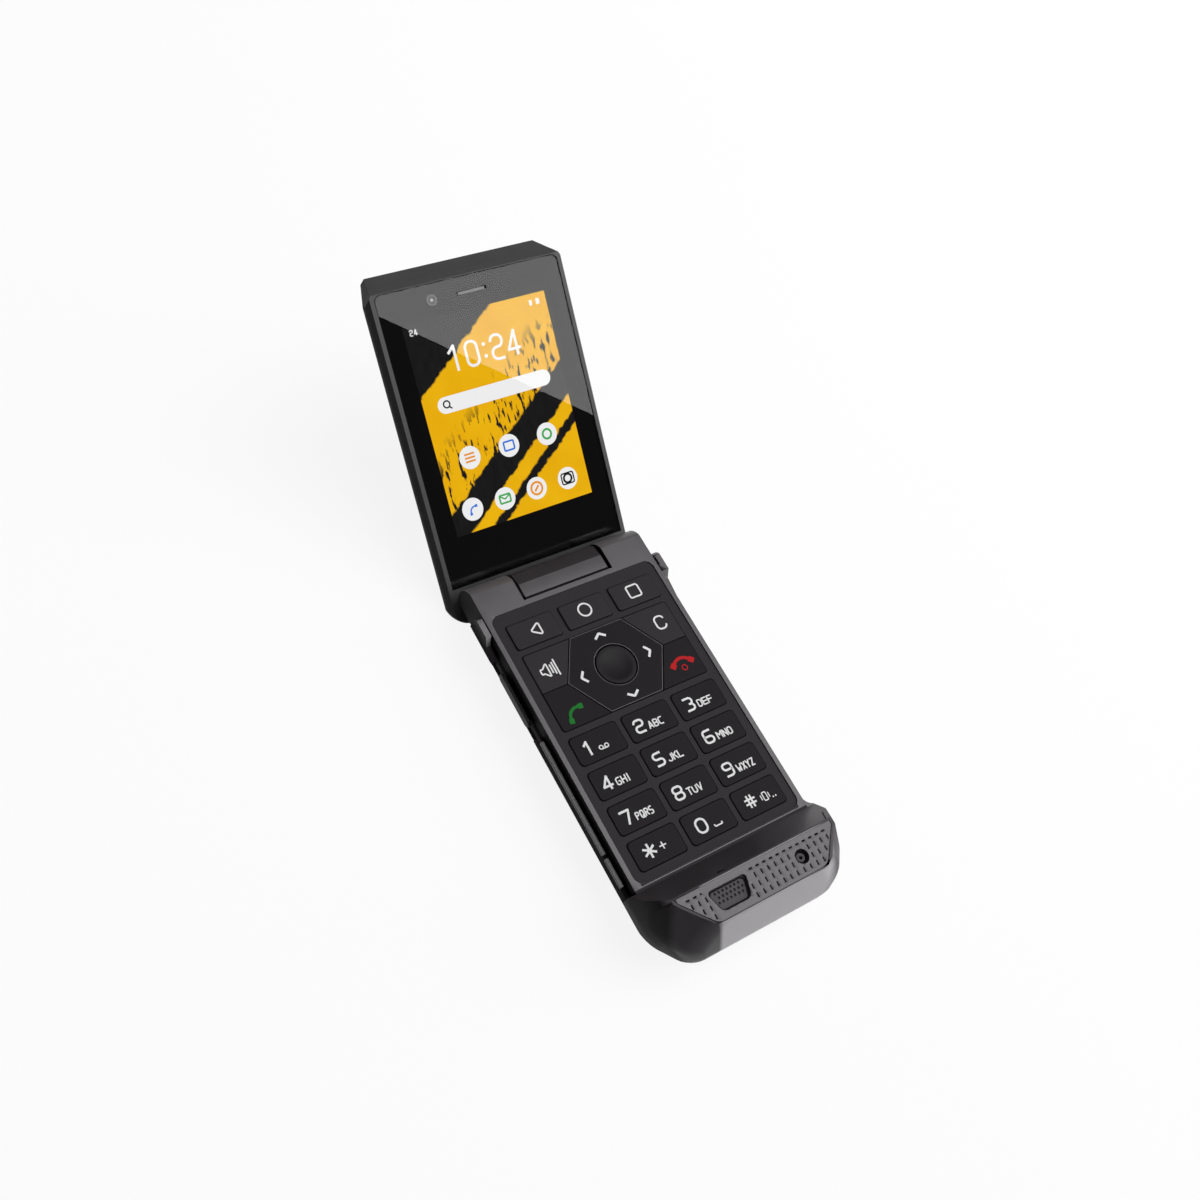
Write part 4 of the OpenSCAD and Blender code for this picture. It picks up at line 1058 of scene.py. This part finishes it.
# Lid
LID_ROUND = 0.4
lid_frame = from_node("lid_front_frame")
round_edges(lid_frame, EDGE_ROUND)
paint_faces(lid_frame, lambda face: 1 if faces_sideways(face) else 2 if abs(face.normal.y) > 0.6 else 0)
add_piece(lid_frame, "lid_front_frame_moulded", "lid", [LID_FRAME, SHELL, LID_SHELL],
          ["lid_front_frame"])
lid_shell = from_node("lid_rear_shell")
round_edges(lid_shell, LID_ROUND, 3)
paint_faces(lid_shell, faces_sideways)
add_piece(lid_shell, "lid_rear_shell_moulded", "lid", [LID_SHELL, SHELL], ["lid_rear_shell"])

# Legends, drawn from the centre of the key's top
LETTERS = {"key_2": "ABC", "key_3": "DEF", "key_4": "GHI", "key_5": "JKL", "key_6": "MNO", "key_7": "PQRS",
           "key_8": "TUV", "key_9": "WXYZ"}
LEGEND_BASE = -1.9
DIGIT_LEFT = -4.6
DIGIT_SIZE = (2.5, 3.4)
DIGIT_LINE = 0.58
LETTERS_LEFT = -0.9
LETTER_W = 1.1
NARROW_LETTER_W = 0.84
LETTER_H = 1.85
LETTER_LINE = 0.36
LETTER_GAP = 0.48
FINE_LINE = 0.3
SIGN_LINE = 0.48
HORN_LINE = 0.42


def digit_and_letters(digit, letters):
    def draw(bm):
        write(bm, digit, DIGIT_LEFT, LEGEND_BASE, *DIGIT_SIZE, DIGIT_LINE)
        wide = LETTER_W if len(letters) < 4 else NARROW_LETTER_W
        write(bm, letters, LETTERS_LEFT, LEGEND_BASE, wide, LETTER_H, LETTER_LINE, LETTER_GAP)
    return draw


def one(bm):
    write(bm, "1", DIGIT_LEFT + 0.6, LEGEND_BASE, 1.9, 3.6, DIGIT_LINE)
    for x in (0.1, 1.7):
        ring(bm, (x, -1.2), 0.52, FINE_LINE)
    stroke(bm, [(0.1, -1.72), (1.7, -1.72)], FINE_LINE)


def star(bm):
    write(bm, "*", DIGIT_LEFT + 0.8, LEGEND_BASE + 0.2, 2.9, 3.4, 0.6)
    write(bm, "+", 0.6, LEGEND_BASE + 0.9, 1.7, 1.7, LETTER_LINE)


def zero(bm):
    write(bm, "0", DIGIT_LEFT + 0.8, LEGEND_BASE, 2.8, 3.6, DIGIT_LINE)
    stroke(bm, [(0.9, -1.2), (0.9, -1.8), (3.1, -1.8), (3.1, -1.2)], LETTER_LINE)


def hash_mark(bm):
    write(bm, "#", DIGIT_LEFT + 0.6, LEGEND_BASE + 0.3, 2.9, 3.1, 0.5)
    stroke(bm, [(1.3, -1.6), (1.3, 0.6), (2.4, 0.6), (2.4, -1.6)], FINE_LINE, 0.2, True)
    for x in (0.65, 3.05):
        stroke(bm, [(x, -1.2), (x, 0.2)], FINE_LINE)
    for x in (3.9, 4.7):
        disc(bm, (x, -1.5), 0.22)


def back_mark(bm):
    stroke(bm, [(-1.1, 0), (1.8, 1.9), (1.8, -1.9)], SIGN_LINE, 0.4, True)


def home_mark(bm):
    ring(bm, (0, 0.3), 1.85, SIGN_LINE)


def recents_mark(bm):
    box(bm, (0, 0.3), 1.8, 1.8, SIGN_LINE, 0.6)


PAD_MID = middle("dpad_plate")


def about_pad(node, x, y):
    """A place given from the rocking plate's centre, taken from the centre of a key."""
    key = middle(node)
    return PAD_MID.x + x - key.x, PAD_MID.y + y - key.y


def speaker_mark(bm):
    x, y = about_pad("speaker_key", -17.7, 5.5)
    horn = [(-2.2, -0.7), (-1.4, -0.7), (0, -2.1), (0, 2.1), (-1.4, 0.7), (-2.2, 0.7)]
    stroke(bm, [(x + a, y + b) for a, b in horn], HORN_LINE, 0.2, True)
    for step, half in enumerate((1.3, 1.8, 2.4)):
        wave_x = x + 0.85 + 0.75 * step
        stroke(bm, [(wave_x, y - half), (wave_x, y + half)], HORN_LINE)


def clear_mark(bm):
    x, y = about_pad("clear_key", 17.8, 6.2)
    stroke(bm, [(x + 1.4, y + 0.9), (x + 1.4, y + 1.9), (x - 1.4, y + 1.9), (x - 1.4, y - 1.9),
                (x + 1.4, y - 1.9), (x + 1.4, y - 0.9)], 0.5, 1.1)


def call_mark(bm):
    handset(bm, about_pad("call_key", -17.4, -7.6), 0.95, 36)


def end_mark(bm):
    handset(bm, about_pad("end_key", 17.1, -6), 1.08, 0)
    ring(bm, about_pad("end_key", 17.1, -8.1), 0.75, FINE_LINE)


def pad_marks(bm):
    arrows = (((0, 9.1), (0, 1)), ((0, -9.3), (0, -1)), ((-10.1, 0), (-1, 0)), ((10.1, 0), (1, 0)))
    for place, heading in arrows:
        chevron(bm, place, 1.65, 1.25, heading)


for name, letters in LETTERS.items():
    legend(name, WHITE_INK, digit_and_letters(name[-1], letters))
SIGNS = {"key_1": one, "star_key": star, "key_0": zero, "hash_key": hash_mark, "back_key": back_mark,
         "home_key": home_mark, "recents_key": recents_mark, "speaker_key": speaker_mark,
         "clear_key": clear_mark, "call_key": call_mark, "end_key": end_mark, "dpad_plate": pad_marks}
OTHER_INKS = {"call_key": GREEN_INK, "end_key": RED_INK}
for name, draw in SIGNS.items():
    legend(name, OTHER_INKS.get(name, WHITE_INK), draw)

# Screen
GLASS_ROUND = 0.15
glass = from_node("screen_glass")
for vert in glass.verts:
    vert.co.z = min(vert.co.z, GLASS_BACK)
round_edges(glass, GLASS_ROUND)
pane = add_piece(glass, "screen_glass_pane", "lid", [WINDOW], ["screen_glass"])
for polygon in pane.data.polygons:
    polygon.use_smooth = False
soften("outer_glass", OUTER_GLASS, GLASS_ROUND)

# Marks on the display, drawn from its centre with up to the lid's end
SCREEN = Matrix.Translation((0, SCREEN_MID.y, DISPLAY_LOW.z)) @ Matrix.Rotation(math.pi, 4, "X")
MARK_H = 0.02
OVER_PLATES = 0.06
CLOCK_BASE = 14
STATUS_BASE = 25.4
SEARCH_HALF = 15
SEARCH_Y = 6
SEARCH_W = 4.4
DOCK = (-15, -5, 5, 15)
DOCK_Y = -22.5
ROW = (-12, 0, 12)
ROW_Y = -9
PLATE_RADIUS = 3.1


def clock(bm):
    for digits, left in (("10", -10.4), ("24", 2.1)):
        write(bm, digits, left, CLOCK_BASE, 3.4, 6.4, 0.75, 1.5)
    for y in (15.6, 18.8):
        disc(bm, (0, y), 0.5)


def status(bm):
    write(bm, "24", -19.5, STATUS_BASE, 0.8, 1.4, 0.25, 0.4)
    stroke(bm, [(16.6, STATUS_BASE), (16.6, STATUS_BASE + 1.4)], 0.9)
    stroke(bm, [(18.8, STATUS_BASE), (18.8, STATUS_BASE + 1.5)], 1.1)


def search_bar(bm):
    stroke(bm, [(-SEARCH_HALF, SEARCH_Y), (SEARCH_HALF, SEARCH_Y)], SEARCH_W)
    for x in (-SEARCH_HALF, SEARCH_HALF):
        disc(bm, (x, SEARCH_Y), SEARCH_W / 2)


def icon_plates(bm):
    for centre in (*((x, DOCK_Y) for x in DOCK), *((x, ROW_Y) for x in ROW)):
        disc(bm, centre, PLATE_RADIUS)


def blue_marks(bm):
    handset(bm, (DOCK[0], DOCK_Y), 0.5, 45)
    box(bm, (ROW[1], ROW_Y), 1.5, 1.2, 0.5, 0.3)


def green_marks(bm):
    x = DOCK[1]
    box(bm, (x, DOCK_Y), 1.6, 1.1, 0.5, 0.3)
    stroke(bm, [(x - 1.5, DOCK_Y + 0.9), (x, DOCK_Y - 0.1), (x + 1.5, DOCK_Y + 0.9)], 0.4)
    ring(bm, (ROW[2], ROW_Y), 1.3, 0.6)


def orange_marks(bm):
    x = DOCK[2]
    ring(bm, (x, DOCK_Y), 1.7, 0.6)
    stroke(bm, [(x - 0.7, DOCK_Y - 0.7), (x + 0.7, DOCK_Y + 0.7)], 0.6)
    for y in (ROW_Y - 1, ROW_Y, ROW_Y + 1):
        stroke(bm, [(ROW[0] - 1.5, y), (ROW[0] + 1.5, y)], 0.5)


def black_marks(bm):
    ring(bm, (DOCK[3], DOCK_Y), 1.2, 0.6)
    box(bm, (DOCK[3], DOCK_Y), 1.9, 1.5, 0.4, 0.5)
    ring(bm, (-14.6, 6.2), 0.9, 0.4)
    stroke(bm, [(-14, 5.5), (-13.3, 4.8)], 0.4)


MARKS = ((clock, LIT_WHITE, MARK_H), (status, LIT_WHITE, MARK_H), (search_bar, LIT_WHITE, MARK_H),
         (icon_plates, LIT_WHITE, MARK_H), (blue_marks, LIT_BLUE, OVER_PLATES),
         (green_marks, LIT_GREEN, OVER_PLATES), (orange_marks, LIT_ORANGE, OVER_PLATES),
         (black_marks, LIT_BLACK, OVER_PLATES))
for draw, finish, lift in MARKS:
    flat_piece("screen_" + draw.__name__, "lid", finish, draw, MARK_H, SCREEN @ raised(lift))

# The camera's lens, turned from radii and heights, and the earpiece cloth
LENS_PROFILE = ((0, 0.16), (0.3, 0.1), (0.5, 0), (1.1, 0), (1.5, 0.18))
lens = bmesh.new()
lens_path = [lens.verts.new((radius, 0, z)) for radius, z in LENS_PROFILE]
lens_edges = [lens.edges.new(pair) for pair in zip(lens_path, lens_path[1:])]
full_turn(lens, [*lens_path, *lens_edges])
bmesh.ops.remove_doubles(lens, verts=lens.verts, dist=MERGE)
bmesh.ops.recalc_face_normals(lens, faces=lens.faces)
LENS_PLACE = Matrix.Translation((*CAMERA_MID.xy, GLASS_HIGH.z)) @ Matrix.Rotation(math.pi, 4, "X")
bmesh.ops.transform(lens, matrix=LENS_PLACE, verts=lens.verts)
# The lens glows with painted light, its bright dot a painted glint
add_piece(lens, "front_camera_lens", "lid", [EYE])

EAR_MID = middle("earpiece")
EAR_HALF = 3.9
EAR_W = 0.75
EAR_H = 0.2
EAR_SINK = 0.15


def ear_cloth(bm):
    stroke(bm, [(-EAR_HALF, EAR_MID.y), (EAR_HALF, EAR_MID.y)], EAR_W)


flat_piece("earpiece_cloth", "lid", CLOTH, ear_cloth, EAR_H, raised(GLASS_LOW.z + EAR_SINK))

# Finishes of the nodes that keep their CAD shape
KEPT = ((SILICONE, "key_mat"), (FILM, "dome_sheet"), (BOARD, "main_board", "lid_board"),
        (SHIELD, "shield_cans", "usb_socket"), (BATTERY, "battery_pack"), (SEAL, "cover_seal"),
        (MODULE, "loudspeaker", "microphone", "earpiece"), (SWITCH, "side_switches"),
        (SCREW, "case_screws", "lid_screws"), (LENS, "front_camera", "rear_camera"), (LOCK, "cover_lock"),
        (STEEL, "hinge_cam_unit", "hinge_pin", "hinge_shaft", "dpad_pivot"), (MESH, "speaker_mesh"),
        (PICTURE, "display_panel"), (IDLE_DISPLAY, "outer_display"))
for finish, *nodes in KEPT:
    for node in nodes:
        for slot in frame["nodes"][node].material_slots:
            slot.link = "OBJECT"
            slot.material = finish

# Camera
CAMERA_PLACE = Vector((-149.17, -71.33, 307.26))
CAMERA_AZIMUTH = -53.499
CAMERA_ELEVATION = 56.693
CAMERA_ROLL = 27.531
camera_data = bpy.data.cameras.new("camera")
camera_data.lens = 39.204
camera_data.sensor_width = 36
camera_data.clip_start = 0.01
camera = add_object("camera", camera_data)
camera.matrix_world = (
    Matrix.Translation(CAMERA_PLACE * MM)
    @ Matrix.Rotation(math.radians(CAMERA_AZIMUTH), 4, "Z")
    @ Matrix.Rotation(math.radians(90 - CAMERA_ELEVATION), 4, "X")
    @ Matrix.Rotation(math.radians(CAMERA_ROLL), 4, "Z")
)
bpy.context.scene.camera = camera

# Floor and wall, in metres
FLOOR_RADIUS = 3.2
FLOOR_LEVEL = -0.0003
WALL_CURVE = 0.3
WALL_TOP = 1.1
WHITE_SHARE = 0.88


def paper():
    finish = Finish("backdrop_paper")
    fibre = finish.noise(60)
    shade = finish.mix(fibre, grey(248), grey(251))
    sheet = finish.shader(shade, fibre * 0.05 + 0.9, {"Specular IOR Level": 0.0})
    camera_ray, glossy, through = (finish.node("ShaderNodeLightPath", out=f"Is {kind} Ray")
                                   for kind in ("Camera", "Glossy", "Transmission"))
    seen = camera_ray.either(glossy).either(through)
    white = finish.node("ShaderNodeEmission", {"Color": (1, 1, 1), "Strength": 1})
    return finish.done(finish.mix_shader(seen * WHITE_SHARE, sheet, white))


sweep = bmesh.new()
floor_path = [sweep.verts.new((x, 0, FLOOR_LEVEL)) for x in (0, FLOOR_RADIUS)]
sweep.edges.new(floor_path)
wall_end = bmesh.ops.spin(sweep, geom=[floor_path[1]], cent=(FLOOR_RADIUS, 0, WALL_CURVE), axis=(0, 1, 0),
                          angle=-math.pi / 2, steps=12, use_merge=False)["geom_last"]
top = verts_of(wall_end)[0]
sweep.edges.new([top, sweep.verts.new((top.co.x, 0, WALL_TOP))])
full_turn(sweep, [*sweep.edges, *sweep.verts], steps=96)
bmesh.ops.remove_doubles(sweep, verts=sweep.verts, dist=CUT_MERGE)
bmesh.ops.recalc_face_normals(sweep, faces=sweep.faces)
for face in sweep.faces:
    face.smooth = True
backdrop_mesh = bpy.data.meshes.new("backdrop")
sweep.to_mesh(backdrop_mesh)
sweep.free()
backdrop_mesh.materials.append(paper())
backdrop = add_object("backdrop", backdrop_mesh)

# Light: a softbox whose lower edge shows as a slanting line in the glass
WORLD_LEVEL = 0.1
KEY_LEVEL = 3.5
KEY_SIZE = (2.4, 1.5)
KEY_SHIFT = 0.4
REACH = 3.9
GLASS_NORMAL = OPEN.to_3x3() @ Vector((0, 0, -1))
FROM_GLASS = (CAMERA_PLACE - OPEN @ Vector((0, 0, GLASS_LOW.z))).dot(GLASS_NORMAL)
MIRRORED_CAMERA = CAMERA_PLACE - 2 * FROM_GLASS * GLASS_NORMAL
LINE_START = (-27, -25.3)
LINE_END = (27, 14.7)
LIT_SIDE = (0, -30)


def seen_in_glass(x, y):
    """The place, in metres, that the camera sees in the glass at a point of the closed lid."""
    return (MIRRORED_CAMERA + (OPEN @ Vector((x, y, GLASS_LOW.z)) - MIRRORED_CAMERA) * REACH) * MM


edge_start = seen_in_glass(*LINE_START)
edge_end = seen_in_glass(*LINE_END)
side = (edge_end - edge_start).normalized()
up = seen_in_glass(*LIT_SIDE) - edge_start
up = (up - up.dot(side) * side).normalized()
key_mid = (edge_start + edge_end) / 2 + side * KEY_SHIFT + up * KEY_SIZE[1] / 2
away = side.cross(up)
if away.dot(key_mid) < 0:
    side, away = -side, -away
key_data = bpy.data.lights.new("key_softbox", "AREA")
key_data.shape = "RECTANGLE"
key_data.size, key_data.size_y = KEY_SIZE
key_data.energy = KEY_LEVEL * math.pi * math.prod(KEY_SIZE)
key = add_object("key_softbox", key_data)
key.matrix_world = Matrix.Translation(key_mid) @ Matrix((side, up, away)).transposed().to_4x4()

world = bpy.data.worlds.new("studio")
world.use_nodes = True
bpy.context.scene.world = world
background = world.node_tree.nodes["Background"].inputs
background["Color"].default_value = (1, 1, 1, 1)
background["Strength"].default_value = WORLD_LEVEL

bpy.context.scene.view_settings.view_transform = "Standard"
